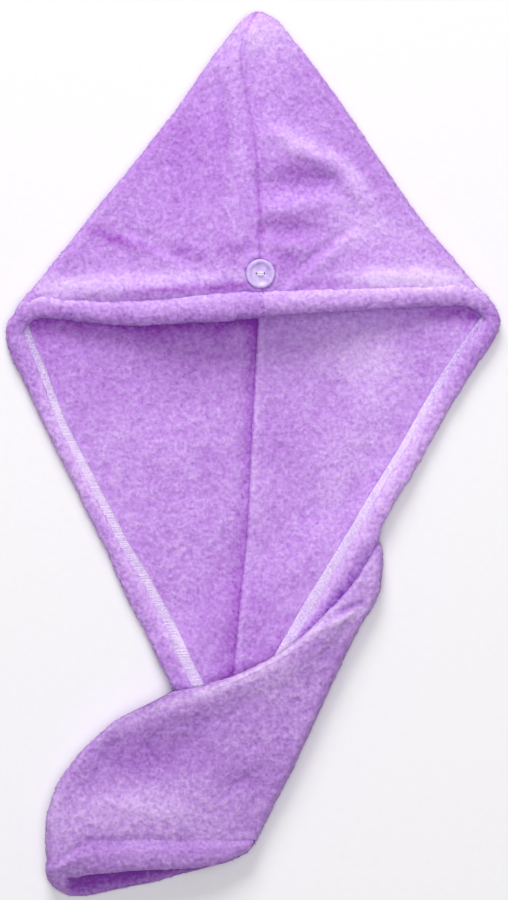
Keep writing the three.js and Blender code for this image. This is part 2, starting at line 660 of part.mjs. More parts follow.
function threadGeometry() {
  const reach = HOLE_SPACING / 2;
  const top = BUTTON_THICK - BUTTON_DISH + THREAD_RADIUS + GAP;
  const half = [[1, 0], [1, THREAD_SHOULDER], [THREAD_SHOULDER, 1]];
  const turned = [...half.map(([out, up]) => [-out, up]), ...half.slice().reverse()];
  const points = turned.map(([out, up]) => new THREE.Vector3(out * reach, 0, up * top));
  const extrudePath = new THREE.CatmullRomCurve3(points);
  const round = new THREE.Shape();
  round.absarc(0, 0, THREAD_RADIUS, 0, 2 * Math.PI);
  return new THREE.ExtrudeGeometry(round, { extrudePath, steps: THREAD_STEPS, curveSegments: THREAD_SIDES });
}

// The towel

const towel = new THREE.Group();
towel.add(
  piece('left_panel', panelGeometry(LEFT), LILAC, FLEECE_ROUGHNESS),
  piece('right_panel', panelGeometry(RIGHT), LILAC, FLEECE_ROUGHNESS),
  piece('hem_left', hemGeometry(LEFT), DEEP_LILAC, FLEECE_ROUGHNESS),
  piece('hem_right', hemGeometry(RIGHT), DEEP_LILAC, FLEECE_ROUGHNESS),
  piece('binding_left', bindingGeometry(LEFT), PALE_LILAC, STITCH_ROUGHNESS),
  piece('binding_right', bindingGeometry(RIGHT), PALE_LILAC, STITCH_ROUGHNESS),
  piece('tail', tailGeometry(), LILAC, FLEECE_ROUGHNESS),
  piece('tail_hem', tailHemGeometry(), DEEP_LILAC, FLEECE_ROUGHNESS),
);
const fastening = new THREE.Group();
fastening.position.set(BUTTON_X, BUTTON_Y, SEAT_HEIGHT + GAP);
fastening.add(
  piece('button', buttonGeometry(), PEARL, PEARL_ROUGHNESS),
  piece('button_thread', threadGeometry(), THREAD_WHITE, STITCH_ROUGHNESS),
);
towel.add(fastening);

export default towel;
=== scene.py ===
import itertools
import math

import bpy
import numpy as np
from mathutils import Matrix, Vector


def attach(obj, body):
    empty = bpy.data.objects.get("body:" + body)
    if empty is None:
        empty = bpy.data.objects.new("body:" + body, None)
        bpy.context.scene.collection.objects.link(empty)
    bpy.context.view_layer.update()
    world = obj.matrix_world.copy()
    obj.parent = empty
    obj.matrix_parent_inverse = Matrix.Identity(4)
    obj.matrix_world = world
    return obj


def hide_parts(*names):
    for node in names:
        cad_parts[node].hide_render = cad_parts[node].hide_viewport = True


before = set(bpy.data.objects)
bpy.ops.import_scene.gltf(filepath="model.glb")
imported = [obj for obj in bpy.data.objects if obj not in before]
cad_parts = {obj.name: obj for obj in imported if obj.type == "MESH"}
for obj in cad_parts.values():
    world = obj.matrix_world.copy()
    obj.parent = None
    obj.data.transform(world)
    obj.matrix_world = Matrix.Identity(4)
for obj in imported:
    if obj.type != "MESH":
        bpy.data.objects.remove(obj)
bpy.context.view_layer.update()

MM = 0.001


def table(names, *rows):
    """A short table as one array for each named column."""
    return dict(zip(names.split(), np.array(rows, dtype=float).T))


# Cloth: its thickness, the least gap to what lies near, and how its seams and its groove press it in
WALL = 3.0
GAP = 0.3
INSET_LIMIT = 0.8
SEAM_OVERLAP = 0.35
SEAM_WIDE = 2.4
SEAM_DEPTH = 1.2
SEAM_UNDER = 0.4
GROOVE_WIDE = 3.6
GROOVE_TUCK = 3.2
GROOVE_RISE = 2.0

# Hood: its outline with the line of the front seam, from the rim up to the tip that rounds it off
HOOD = table(
    "y left seam right",
    (76, -119.6, 5.2, 124.6),
    (88.5, -109.4, 4.2, 112.2),
    (108.9, -92.1, 3.4, 94.6),
    (129.3, -76.2, 3.0, 79.3),
    (149.7, -59.4, 1.9, 65.0),
    (170.1, -43.6, -1.2, 51.3),
    (190.5, -29.3, -4.6, 36.5),
    (205, -18.6, -6.2, 25.4),
    (214, -11.6, -4.4, 18.0),
    (217.5, -8.6, -3.0, 15.2),
    (220.8, -5.6, -1.2, 12.2),
    (223.6, -2.6, 0.6, 8.8),
    (225.7, 0.9, 2.4, 4.6),
)

# How the hood rounds at its side folds and its tip, and how full it is over the rim and at the peak
HOOD_TOP = 214.0
PEAK_TIP = 225.7
FOLD_REACH = 5.5
FOLD_HEIGHT = 9.5
PEAK_FOLD_SHARE = 0.62
TIP_ROUNDING = 0.8
CALM_SHARE = 0.25
CALM_REACH = 12.0
RIM_CROWN = 12.5
PEAK_CROWN = 2.0

# The stitch groove above the rim hem
GROOVE_MID = 83.5
GROOVE = table(
    "x y depth",
    (-120, 77.4, 0.2),
    (-98, 79.6, 0.4),
    (-62, 78.9, 1.0),
    (-27, 81.3, 1.3),
    (0, 83.6, 1.2),
    (30, 83.8, 0.6),
    (75, 85.9, 0.3),
    (125, 87.4, 0.2),
)

# Folds of the hood's front layer: how wide each one is, then the places along it as x, y and rise
HOOD_FOLDS = (
    (5.2, (5, 162.5, 1.0), (14, 162.5, 2.6), (22.5, 156.5, 3.4), (35, 150.3, 3.5), (43.3, 145.6, 3.5),
     (50.5, 137.5, 3.0), (58, 127.5, 2.0), (64, 118, 0.8), (68, 110, 0)),
    (9, (8, 151, 0.4), (22, 149, 1.0), (36, 144, 0.6), (44, 138, 0)),
    (6.2, (5, 137, -1.6), (24, 137.4, -2.8), (40, 138.5, -2.0), (47, 134, 0)),
    (4.6, (5, 123, 0.9), (24, 125.7, 1.8), (40, 128, 0.6)),
    (4.6, (5, 112, -1.2), (24, 113, -1.9), (34, 114, -0.8)),
    (3.6, (5, 106, 0.8), (20, 106, 1.0), (30, 104, 0)),
    (4.4, (8, 95.5, -0.8), (16, 95, -1.4), (24, 92, -0.4)),
    (2.6, (17.6, 90, -0.3), (27.8, 97.7, -1.3), (44.6, 111.4, -1.0), (52, 118, 0)),
    (3.2, (22, 87.5, 0.3), (33, 95.5, 0.9), (47, 107, 0.7), (56, 115, 0)),
    (10, (66, 118, 0), (76, 104, 1.2), (92, 92, 0.8)),
    (5, (40, 92, 0), (62, 90.5, 1.4), (90, 91, 1.4), (108, 90, 0)),
    (3.4, (-84, 122, 0), (-60, 112, -0.7), (-38, 101, -0.9), (-22, 96, 0)),
    (3.6, (-80, 115, 0), (-58, 105, 0.6), (-36, 94, 0.6), (-24, 90, 0)),
    (6.0, (-100, 84.5, 0.6), (-84, 84.5, 2.0), (-46, 83.5, 2.0), (-20, 86, 1.0)),
    (3.6, (-8, 208, 0.4), (-10, 190, 0.8), (-8, 164, 1.0), (-8, 140, 0.9), (-9, 108, 0.9), (-8, 98, 0)),
    (4.0, (-17, 186, -0.6), (-16, 160, -1.0), (-16, 120, -0.7)),
)

# Painted light and shade in soft oval patches, paler where light falls and darker in hollows and under the
# rim: the middle, the half sizes and the tone
HOOD_PAINTED_LIGHT = table(
    "x y wide high tone",
    (2, 214, 18, 15, 0.3),
    (-62, 89.5, 36, 5, 0.18),
    (-22, 91.5, 16, 4, 0.1),
    (-6, 91, 5, 3, 0.12),
    (4, 92, 9.5, 9.5, 0.1),
    (-34, 160, 20, 20, -0.09),
    (26, 146, 17, 6, -0.22),
    (18, 119, 14, 4.5, -0.12),
    (14, 100, 9, 6, -0.12),
    (37, 87.5, 14, 3.2, -0.14),
    (51, 114, 13, 11, 0.17),
    (68, 91, 22, 4.5, 0.14),
    (90, 92, 20, 8, 0.14),
    (86, 88.5, 32, 4.5, 0.16),
    (76, 112, 18, 12, 0.13),
    (-98, 86, 16, 5.5, 0.26),
    (61, 146, 6, 20, -0.06),
    (-10, 105, 7, 4, -0.16),
    (-92, 92, 8, 4, -0.08),
)
HEM_PAINTED_LIGHT = table(
    "x y wide high tone",
    (-98, 80, 18, 3.5, 0.2),
    (84, 85.5, 28, 3, 0.18),
)
BACK_PAINTED_LIGHT = table(
    "x y wide high tone",
    (-6, -90, 24, 36, -0.12),
    (62, 30, 14, 34, 0.1),
    (48, 50, 28, 14, 0.14),
    (-58, 46, 70, 20, -0.1),
    (104, 72, 20, 4.5, -0.3),
    (18, 10, 12, 30, -0.05),
)
TAIL_PAINTED_LIGHT = table(
    "x y wide high tone",
    (-56, -179, 32, 11, 0.12),
    (-98, -196, 10, 12, 0.06),
    (-74, -153, 26, 9, -0.08),
    (6, -165, 20, 10, -0.08),
    (-24, -134, 26, 8, -0.06),
    (34, -100, 14, 8, -0.1),
    (-32, -152, 30, 12, -0.06),
    (57, -60, 10, 10, 0.12),
    (-14, -148, 14, 6, 0.06),
)

# Painted highlights along ridges and painted shade along creases, on lines: how wide each one is, then the
# places along it as x, y and tone
HOOD_LINES_OF_PAINTED_LIGHT = (
    (3.3, (5.9, 165.5, 0.05), (15, 166, 0.06), (24, 159.8, 0.1), (37, 153.7, 0.15), (45.6, 148.6, 0.18),
     (53.3, 140, 0.2), (60.9, 130, 0.12), (64, 123, 0.04)),
    (3.4, (8, 131, 0.06), (24, 131, 0.1), (40, 133, 0.1), (50, 128, 0.04)),
    (4.5, (44, 90, 0.04), (70, 89.5, 0.16), (95, 89, 0.2), (114, 87, 0.14)),
    (3.2, (-88, 116.5, 0), (-80, 113.2, -0.22), (-68, 109, -0.26), (-56, 105, -0.2), (-46, 102.5, 0)),
    (3.0, (-46, 109, 0), (-36, 104, -0.22), (-27, 100, -0.18), (-18, 97, 0)),
    (2.6, (-76, 117, 0), (-60, 111, 0.1), (-46, 108, 0.1), (-36, 109, 0)),
    (2.3, (-70, 81.8, 0), (-54, 82.6, -0.3), (-24, 84, -0.34), (-8, 85.2, -0.24), (2, 86, -0.08)),
)
TAIL_LINES_OF_PAINTED_LIGHT = (
    (2.8, (62, -50, 0), (47, -72, 0.1), (28, -92, 0.24), (5.6, -108, 0.26), (-19.4, -120, 0.24),
     (-46, -128.4, 0.14), (-75, -141.5, 0.08), (-97, -163, 0.08), (-103, -185, 0.1)),
    (2.2, (26, -92, 0.05), (38, -87, 0.18), (50, -82, 0.2), (58, -78, 0.1)),
    (1.5, (40, -81.5, 0), (47, -79.2, -0.2), (56, -75.5, -0.16)),
)

# Shade where the hems and the back layer run in under the edge of the tail
TAIL_EDGE = (
    (4.5, (64, -46, 0.1), (50, -67, 0.35), (40.4, -79, 0.4), (30.4, -89, 0.3), (8, -105.4, 0.2),
     (-17.6, -117.4, 0.2), (-46.4, -125, 0.1)),
)

# Soft hollows and swells of the back layer, in the V
BACK_FOLDS = (
    (9, (8, 30, 0), (16, -6, -0.7), (30, -30, -0.5), (36, -44, 0)),
    (10, (60, 44, 0), (52, 14, 0.9), (40, -16, 0.7), (30, -44, 0)),
    (9, (-80, 20, 0), (-52, 2, 0.6), (-30, -40, 0.5), (-24, -70, 0)),
    (8, (-50, 40, 0), (-24, 16, -0.5), (-14, -20, -0.4)),
)

# The back seam, down the V and into the tail
BACK_SEAM = table(
    "y x",
    (90, 4.2),
    (68, 2.8),
    (12, -0.3),
    (-39, -2.8),
    (-75, -6.4),
    (-108, -9.4),
    (-146, -12),
)
BACK_FOOT = -146.0
BACK_TOP = 76.0

# Hems: places on the middle line, with round going from 0 on the front layer to 1 on the back layer
HEM_LEFT = table(
    "x y wide high round",
    (6.2, 76.1, 13.2, 8, 0),
    (-12, 75, 14, 8, 0),
    (-30, 73.6, 14, 8, 0),
    (-47, 72.4, 13.2, 7.8, 0),
    (-64, 72.1, 12.8, 7.6, 0),
    (-82, 73.1, 12.4, 7.4, 0.02),
    (-97, 74.4, 11.6, 7.2, 0.06),
    (-107, 75.6, 12.6, 7.2, 0.12),
    (-114.2, 73.4, 11.6, 7.1, 0.3),
    (-118.7, 68.2, 8.8, 6.9, 0.68),
    (-121.6, 62.6, 9.2, 6.8, 0.88),
    (-119.7, 54, 10.2, 6.6, 1),
    (-115.6, 45, 10.4, 6.4, 1),
    (-108.9, 29.4, 8.4, 6.2, 1),
    (-101.4, 12, 7, 6, 1),
    (-94.8, -1.1, 7.2, 6, 1),
    (-79.3, -31.7, 7.4, 6, 1),
    (-70.1, -50, 8, 6, 1),
    (-62.7, -64.3, 10.4, 6, 1),
    (-48, -92.9, 11.2, 5.8, 1),
    (-38.4, -113.2, 10.8, 5, 1),
    (-31.5, -125, 9, 4.4, 1),
    (-25, -134, 8.6, 4, 1),
)
HEM_RIGHT = table(
    "x y wide high round",
    (4.6, 76.2, 12.8, 8, 0),
    (24, 77.3, 12.2, 8, 0),
    (50, 78.7, 11.6, 7.8, 0),
    (75, 80, 11.2, 7.6, 0),
    (94, 81, 11.4, 7.4, 0.04),
    (106, 81.3, 11.8, 7.2, 0.12),
    (113.6, 78.9, 10.6, 7.1, 0.32),
    (118.7, 74.4, 8.4, 7, 0.64),
    (121.8, 69.4, 7.8, 6.8, 0.86),
    (119.2, 62, 9.4, 6.7, 1),
    (111, 49.6, 10.6, 6.4, 1),
    (98.1, 29.4, 9.8, 6.2, 1),
    (81.4, -0.9, 9.8, 6, 1),
    (63.2, -31.2, 10, 6, 1),
    (57.2, -44, 12.4, 6, 1),
    (47.2, -61.8, 12.6, 6, 1),
    (31.1, -87.3, 10.4, 5.6, 1),
    (22, -103, 9.6, 4.8, 1),
    (15.6, -114.4, 7.4, 3.6, 1),
)
HEM_SQUARENESS = 0.95
HEM_SINK = 0.9
HEM_SINK_FROM = 20.0
HEM_SINK_TO = 60.0
HEM_CLEAR = 1.1

# Back layer between the corner of the hood and the straight of the V
CORNER_EDGE = table(
    "y left right",
    (84, -108, 111),
    (76, -112.5, 116),
    (68, -116.2, 119.8),
    (60, -116.8, 117.6),
    (54, -114.8, 111.8),
    (45, -110.8, 104.6),
)
CORNER_FOOT = 45.0
CORNER_BLEND = 14.0
LIFT_NEAR = 9.0
LIFT_FAR = 34.0
LIFT_CLEAR = 0.6

# Bindings: how thick they are, and how they lie on the back layer and run into the hem
BINDING_HIGH = 1.1
BINDING_CLEAR = 0.1
BINDING_INTO_HEM = 1.6
BINDING_BEND = 50.0

# Tail: sections of the sleeve from the wrapped ridge to the mouth, with the places of its two folds
TAIL = table(
    "section leftX leftY rightX rightY bow leftHigh rightHigh crown",
    (0, -46.4, -125, 65.2, -42.6, 17, 13.4, 7, 2.8),
    (1, -55, -129.4, 66.4, -58, 13, 13, 9.6, 2.6),
    (2, -68, -135, 63.4, -74.4, 8, 12.4, 10.4, 2.4),
    (3, -81.5, -146.1, 54, -89.4, 5, 11.8, 11, 2),
    (4, -91.3, -156.6, 42.6, -113, 3, 11.4, 11, 1.8),
    (5, -98.3, -166.8, 32.2, -135.4, 2, 11.4, 11, 1.8),
    (6, -103, -177, 22.6, -156.4, 1, 11.6, 11, 2),
    (7, -105.4, -187, 12.2, -176.8, 0, 12, 10.6, 2.4),
    (8, -106, -196.5, 2.6, -196.5, 0, 12.6, 10.2, 2.8),
)
TAIL_LAST = 8.0
TAIL_FOLDS = (
    (6.5, (50, -79, 0.8), (45, -86, 1.4), (25, -104, 1.8), (-3, -117, 1.6), (-40, -131, 1.2),
     (-60, -140, 0.6)),
    (1.8, (40, -81.5, 0), (47, -79.2, -1.2), (56, -75.5, -0.8)),
    (2.4, (26, -92, 0.4), (38, -87, 1.1), (50, -82, 1.3), (58, -78, 0.5)),
    (14, (24, -128, 0), (-10, -140, -1.4), (-50, -152, -2.4), (-84, -164, -1.6)),
    (6, (-32, -148, 0), (-18, -143, 1.1), (2, -137, 0.6)),
    (6, (-24, -174, 0), (-12, -170, -1.4), (6, -162, -0.8)),
    (10, (-88, -184, 0.4), (-62, -178, 1.2), (-36, -184, 0.8)),
)

# The rolled upper edge of the tail, the drop of its mouth's groove and how tight its side folds are
NOSE_WIDE = 8.0
NOSE_DEPTH = 3.8
MOUTH_DROP = 11.0
MOUTH_DROP_WIDE = 28.0
TAIL_FOLD_REACH = 6.5
TAIL_FOLD_TIGHT = 3.3
TAIL_TIGHT_SECTIONS = 2.0

# Mouth of the tail: how far each layer's hem reaches
MOUTH = table(
    "x upper lower",
    (-98.6, -222.4, -224.6),
    (-96, -220, -225.5),
    (-92.5, -217.4, -225.8),
    (-85, -214.6, -225.5),
    (-74.7, -213.4, -223.4),
    (-62.5, -212.4, -221),
    (-50, -211.8, -218.3),
    (-38, -211.3, -215.2),
    (-26, -210.2, -212.4),
    (-13.5, -207.2, -208.4),
    (-5, -203.6, -204.4),
    (0, -200.8, -201.2),
    (3, -198.2, -198.4),
)
MOUTH_LEFT = -98.6
MOUTH_RIGHT = 3.0
MOUTH_WALL = 4.8
MOUTH_BULGE = 2.2
MOUTH_DEEP = 14.0
MOUTH_TURN_IN = 3.5
MOUTH_SLUMP = 0.45
MOUTH_SLUMP_WIDE = 20.0
MOUTH_WAVE = 0.5
MOUTH_WAVE_LONG = 5.0
LIP_WIDE = 3.4
LIP_EDGE = 0.3
MOUTH_GROOVE_WIDE = 2.8
MOUTH_GROOVE = table(
    "share depth",
    (0, 0.2),
    (0.06, 1.0),
    (0.25, 1.3),
    (0.6, 0.9),
    (0.8, 0.2),
    (1, 0),
)

# Button: where it sits, on a flat seat with a soft collar of fleece round it
BUTTON_X = 3.8
BUTTON_Y = 91.6
BUTTON_THICK = 2.6
SEAT_HEIGHT = 20.2
SEAT_FLAT = 11.0
SEAT_EASE = 8.0
COLLAR_RADIUS = 8.8
COLLAR_INNER = 1.5
COLLAR_OUTER = 4.0
COLLAR_HIGH = 1.2
SEAT = np.array([BUTTON_X, BUTTON_Y, SEAT_HEIGHT + GAP])


# Small helpers

def mix(a, b, share):
    return a + (b - a) * share


def ease(low, high, value):
    share = np.clip((value - low) / (high - low), 0, 1)
    return share * share * (3 - 2 * share)


def along(rows, key, place, column):
    """One column of a table at places along its key, on a smooth curve through the rows."""
    keys, values = rows[key], rows[column]
    if keys[-1] < keys[0]:
        keys, values = keys[::-1], values[::-1]
    before = np.maximum(np.arange(len(keys)) - 1, 0)
    after = np.minimum(np.arange(len(keys)) + 1, len(keys) - 1)
    slope = (values[after] - values[before]) / (keys[after] - keys[before])
    row = np.clip(np.searchsorted(keys, place) - 1, 0, len(keys) - 2)
    step = keys[row + 1] - keys[row]
    share = np.clip((place - keys[row]) / step, 0, 1)
    bent = share * share * (3 - 2 * share)
    lead = share * (1 - share) ** 2 * step * slope[row]
    lag = share ** 2 * (1 - share) * step * slope[row + 1]
    return mix(values[row], values[row + 1], bent) + lead - lag


def folds_at(folds, x, y):
    """Height added by folds, each one fading out to both sides of its line."""
    total = np.zeros(np.broadcast(x, y).shape)
    for wide, *places in folds:
        nearest = np.full(total.shape, np.inf)
        rise = np.zeros(total.shape)
        for (from_x, from_y, from_rise), (to_x, to_y, to_rise) in itertools.pairwise(places):
            along_x = to_x - from_x
            along_y = to_y - from_y
            ahead = (x - from_x) * along_x + (y - from_y) * along_y
            share = np.clip(ahead / (along_x ** 2 + along_y ** 2), 0, 1)
            away = np.hypot(x - from_x - share * along_x, y - from_y - share * along_y)
            closer = away < nearest
            nearest = np.where(closer, away, nearest)
            rise = np.where(closer, mix(from_rise, to_rise, share), rise)
        total = total + rise * np.exp(-(nearest / wide) ** 2)
    return total


def shoulder(distance, wide, depth):
    """How far a surface is pressed down beside a seam or an edge, on a quarter of an ellipse."""
    share = np.clip(1 - distance / wide, 0, 1)
    return depth * (1 - np.sqrt(1 - share ** 2))


NOISE_SIZE = 256


def noise(points, lump, seed):
    """A smooth random value from -1 to 1 at each point, with lumps of about this many millimetres."""
    hashed = np.random.RandomState(seed).permutation(NOISE_SIZE)
    spot = points / lump
    cell = np.floor(spot).astype(int)
    part = spot - cell
    bent = part * part * (3 - 2 * part)
    total = np.zeros(points.shape[:-1])
    for corner in itertools.product((0, 1), repeat=3):
        place = (cell + corner) % NOISE_SIZE
        value = hashed[place[..., 0]]
        value = hashed[(value + place[..., 1]) % NOISE_SIZE]
        value = hashed[(value + place[..., 2]) % NOISE_SIZE]
        weight = np.prod(np.where(corner, bent, 1 - bent), axis=-1)
        total += weight * (2 * value / (NOISE_SIZE - 1) - 1)
    return total


NO_LENGTH = 1e-9


def unit(vectors):
    length = np.linalg.norm(vectors, axis=-1, keepdims=True)
    return vectors / np.maximum(length, NO_LENGTH)


# Meshes

def mesh_object(name, points, faces, material, flat=None, tone=None, normals=None):
    """A smooth mesh object at the origin, from points in millimetres and faces of one kind."""
    mesh = bpy.data.meshes.new(name)
    mesh.vertices.add(len(points))
    mesh.vertices.foreach_set("co", (points * MM).ravel())
    mesh.loops.add(faces.size)
    mesh.loops.foreach_set("vertex_index", faces.ravel())
    mesh.polygons.add(len(faces))
    mesh.polygons.foreach_set("loop_start", np.arange(0, faces.size, faces.shape[1]))
    mesh.update(calc_edges=True)
    mesh.polygons.foreach_set("use_smooth", np.ones(len(faces), dtype=bool) if flat is None else ~flat)
    mesh.materials.append(material)
    if tone is not None:
        mesh.attributes.new("tone", "FLOAT", "POINT").data.foreach_set("value", tone)
    if normals is not None:
        mesh.normals_split_custom_set_from_vertices(normals)
    made = bpy.data.objects.new(name, mesh)
    bpy.context.scene.collection.objects.link(made)
    return made


def declare(piece, slot, *nodes):
    """Puts a piece on the towel's one body. It may stand for nodes of the frame, which it hides.
    slot is not used.
    """
    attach(piece, "root")
    if nodes:
        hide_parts(*nodes)


def grid_quads(rows, columns, ring=False, exists=None):
    """Corner numbers of the cells of a grid, which may close on itself from its last column to its first."""
    cells = columns if ring else columns - 1
    row, column = np.meshgrid(np.arange(rows - 1), np.arange(cells), indexing="ij")
    beside = (column + 1) % columns
    quads = np.stack([
        row * columns + column,
        row * columns + beside,
        (row + 1) * columns + beside,
        (row + 1) * columns + column,
    ], axis=-1)
    return quads[exists] if exists is not None else quads.reshape(-1, 4)


def closed_cloth(face, lining, ring=False, exists=None):
    """A closed cloth of two grids, joined by walls along every edge that has one neighbour.

    Gives its points, its quads and which of those are walls."""
    rows, columns = face.shape[:2]
    count = rows * columns
    quads = grid_quads(rows, columns, ring, exists)
    edges = np.concatenate([quads[:, [k, (k + 1) % 4]] for k in range(4)])
    forward = edges[:, 0] * count + edges[:, 1]
    backward = edges[:, 1] * count + edges[:, 0]
    rim = edges[~np.isin(forward, backward)]
    walls = np.stack([rim[:, 1], rim[:, 0], rim[:, 0] + count, rim[:, 1] + count], axis=-1)
    faces = np.concatenate([quads, quads[:, ::-1] + count, walls])
    points = np.concatenate([face.reshape(-1, 3), lining.reshape(-1, 3)])
    return *outward(*used_only(points, faces)), np.arange(len(faces)) >= 2 * len(quads)


def used_only(points, faces):
    """Leaves out the points that no face has."""
    used = np.unique(faces)
    number = np.zeros(len(points), dtype=int)
    number[used] = np.arange(len(used))
    return points[used], number[faces]


def outward(points, faces):
    """Turns the faces to look outwards, as the sign of the enclosed volume tells."""
    a, b, c, d = (points[faces[:, k]] for k in range(4))
    volume = np.sum(a * np.cross(b, c)) + np.sum(a * np.cross(c, d))
    return points, (faces[:, ::-1] if volume < 0 else faces)


def point_normals(points, faces):
    """Smooth normals of a mesh of triangles or quads."""
    corners = points[faces]
    flat = np.cross(corners[:, 2] - corners[:, 0], corners[:, -1] - corners[:, 1])
    total = np.zeros_like(points)
    for k in range(faces.shape[1]):
        np.add.at(total, faces[:, k], flat)
    return unit(total)


# How far the middles of halved edges and quads go out, as a share of the way to the tangent planes at the
# corners. The arc of a circle lies half way out, and the cloth is a little fuller than that.
BULGE = 0.75


def bulged(points, normals, corners):
    """Middle points of groups of corners, moved out as far as a soft surface through them swells."""
    middle = points[corners].mean(axis=1)
    off = np.sum((points[corners] - middle[:, None]) * normals[corners], axis=-1, keepdims=True)
    return middle + BULGE * (off * normals[corners]).mean(axis=1)


def refined(points, quads, chosen):
    """Triangles of a quad mesh whose chosen quads are halved both ways, and the quad each one comes from."""
    normals = point_normals(points, quads)
    sides = np.sort(quads[:, [[0, 1], [1, 2], [2, 3], [3, 0]]], axis=-1)
    code = sides[..., 0] * len(points) + sides[..., 1]
    cut = np.unique(code[chosen])
    touched = np.isin(code, cut)
    fans = touched.any(axis=1)
    middles = bulged(points, normals, np.stack([cut // len(points), cut % len(points)], axis=-1))
    centres = bulged(points, normals, quads[fans])
    middle_of = np.where(touched, len(points) + np.searchsorted(cut, code), -1)[fans]
    centre = len(points) + len(cut) + np.arange(len(centres))
    triangles = [quads[~fans][:, [0, 1, 2]], quads[~fans][:, [0, 2, 3]]]
    kept, cut_up = np.flatnonzero(~fans), np.flatnonzero(fans)
    source = [kept, kept]
    for k in range(4):
        start, end, middle = quads[fans, k], quads[fans, (k + 1) % 4], middle_of[:, k]
        halved = middle >= 0
        triangles.append(np.stack([centre, start, np.where(halved, middle, end)], axis=-1))
        triangles.append(np.stack([centre, middle, end], axis=-1)[halved])
        source += [cut_up, cut_up[halved]]
    return np.concatenate([points, middles, centres]), np.concatenate(triangles), np.concatenate(source)


# Soft unevenness of the cloth, and its tufts: how many millimetres across, and how far they rise
LUMPS = table(
    "lump rise",
    (30, 0.5),
    (10, 0.3),
)
TUFTS = table(
    "lump rise",
    (3.6, 0.22),
    (1.9, 0.28),
)


def rough(points, lumps, seed):
    """Height of soft random lumps at each point."""
    return sum(rise * noise(points, lump, seed + row)
               for row, (lump, rise) in enumerate(zip(lumps["lump"], lumps["rise"])))


def raised(points, faces, rise, free):
    """Moves points out by rise. free is how far they may move sideways, and none goes below the table."""
    shift = point_normals(points, faces) * rise[:, None]
    shift[:, :2] *= free(points)[:, None]
    moved = points + shift
    moved[:, 2] = np.maximum(moved[:, 2], 0)
    return moved


# Forms of the hood and the back layer

class Side:
    """One half of the towel.

    name is also that of its edge columns, and way is its direction in X. seam_drop is how deep the back
    seam presses its cloth in. hem_turn is the row where its hem leaves the rim. hem_tone is for the hem on
    the rim, and the two after it are for the painted shade under the rim: its depth and how far down it goes.
    binding has its two ends in Y, its width at each, how it leans above BINDING_BEND, and its tone."""

    def __init__(self, name, way, seam_drop, hem, hem_turn, hem_tone, rim_painted_shade, rim_fade, binding):
        self.name = name
        self.way = way
        self.seam_drop = seam_drop
        self.hem = hem
        self.rim = {column: values[:hem_turn] for column, values in hem.items()}
        self.straight = {column: values[hem_turn:] for column, values in hem.items()}
        self.hem_tone = hem_tone
        self.rim_painted_shade = rim_painted_shade
        self.rim_fade = rim_fade
        self.binding = binding


LEFT = Side(
    "left", -1, seam_drop=0.9, hem=HEM_LEFT, hem_turn=9, hem_tone=-0.1, rim_painted_shade=0.42, rim_fade=8.0,
    binding={"top": 67.5, "end": -124.0, "wide": (5.0, 6.6), "lean": 0.39, "tone": 0.03},
)
RIGHT = Side(
    "right", 1, seam_drop=0.3, hem=HEM_RIGHT, hem_turn=7, hem_tone=0.02, rim_painted_shade=0.05, rim_fade=9.0,
    binding={"top": 70.0, "end": -106.0, "wide": (3.6, 6.6), "lean": 0.7, "tone": 0.0},
)


def seam_x(y):
    return along(HOOD, "y", y, "seam")


def edge_x(side, y):
    return along(HOOD, "y", y, side.name)


def fold_reach(side, y):
    return np.minimum(FOLD_REACH, PEAK_FOLD_SHARE * np.abs(edge_x(side, y) - seam_x(y)))


def fold_height(y):
    over = np.maximum(0, y - HOOD_TOP) / (PEAK_TIP - HOOD_TOP)
    return FOLD_HEIGHT * np.sqrt(1 - TIP_ROUNDING * over ** 2)


def front_top(x, y):
    """Height of the hood's outer face. It lies flat under the button."""
    seam = seam_x(y)
    edge = np.where(x < seam, edge_x(LEFT, y), edge_x(RIGHT, y))
    reach = np.minimum(FOLD_REACH, PEAK_FOLD_SHARE * np.abs(edge - seam))
    share = np.clip(np.abs(x - seam) / (np.abs(edge - seam) - reach), 0, 1)
    over_tip = 1 - ease(HOOD_TOP, PEAK_TIP, y)
    fullness = mix(RIM_CROWN, PEAK_CROWN, ease(GROOVE_MID, HOOD_TOP, y))
    crown = over_tip * fullness * np.cos(share * math.pi / 2) ** 2
    calm = ease(0, CALM_SHARE, 1 - share) * (1 - ease(HOOD_TOP - CALM_REACH, HOOD_TOP, y))
    free = fold_height(y) + crown + calm * folds_at(HOOD_FOLDS, x, y)
    from_button = np.hypot(x - BUTTON_X, y - BUTTON_Y)
    collar_wide = np.where(from_button < COLLAR_RADIUS, COLLAR_INNER, COLLAR_OUTER)
    collar = COLLAR_HIGH * np.exp(-((from_button - COLLAR_RADIUS) / collar_wide) ** 2)
    return mix(SEAT_HEIGHT, free, ease(SEAT_FLAT, SEAT_FLAT + SEAT_EASE, from_button)) + collar


def lift_at(x, y):
    """The back layer is lifted where it lies on the tail."""
    left_x, left_y = TAIL["leftX"][0], TAIL["leftY"][0]
    across_x = TAIL["rightX"][0] - left_x
    across_y = TAIL["rightY"][0] - left_y
    away = ((y - left_y) * across_x - (x - left_x) * across_y) / math.hypot(across_x, across_y)
    return (WALL + LIFT_CLEAR) * (1 - ease(LIFT_NEAR, LIFT_FAR, away))


def hem_inner_x(side, y, clear):
    """The inner line of a hem on the back layer, moved inwards by clear."""
    rows = side.straight
    spot = np.maximum(y, rows["y"][-1] + 1)
    slope = (along(rows, "y", spot + 1, "x") - along(rows, "y", spot - 1, "x")) / 2
    away = along(rows, "y", spot, "wide") / 2 + clear
    return along(rows, "y", spot, "x") - side.way * away * np.hypot(1, slope)


def back_edge_x(side, y):
    near_corner = ease(CORNER_FOOT - CORNER_BLEND, CORNER_FOOT, y)
    return mix(hem_inner_x(side, y, HEM_CLEAR), along(CORNER_EDGE, "y", y, side.name), near_corner)


# Panels: rows and columns of their grids, crowded towards the seams and the rim

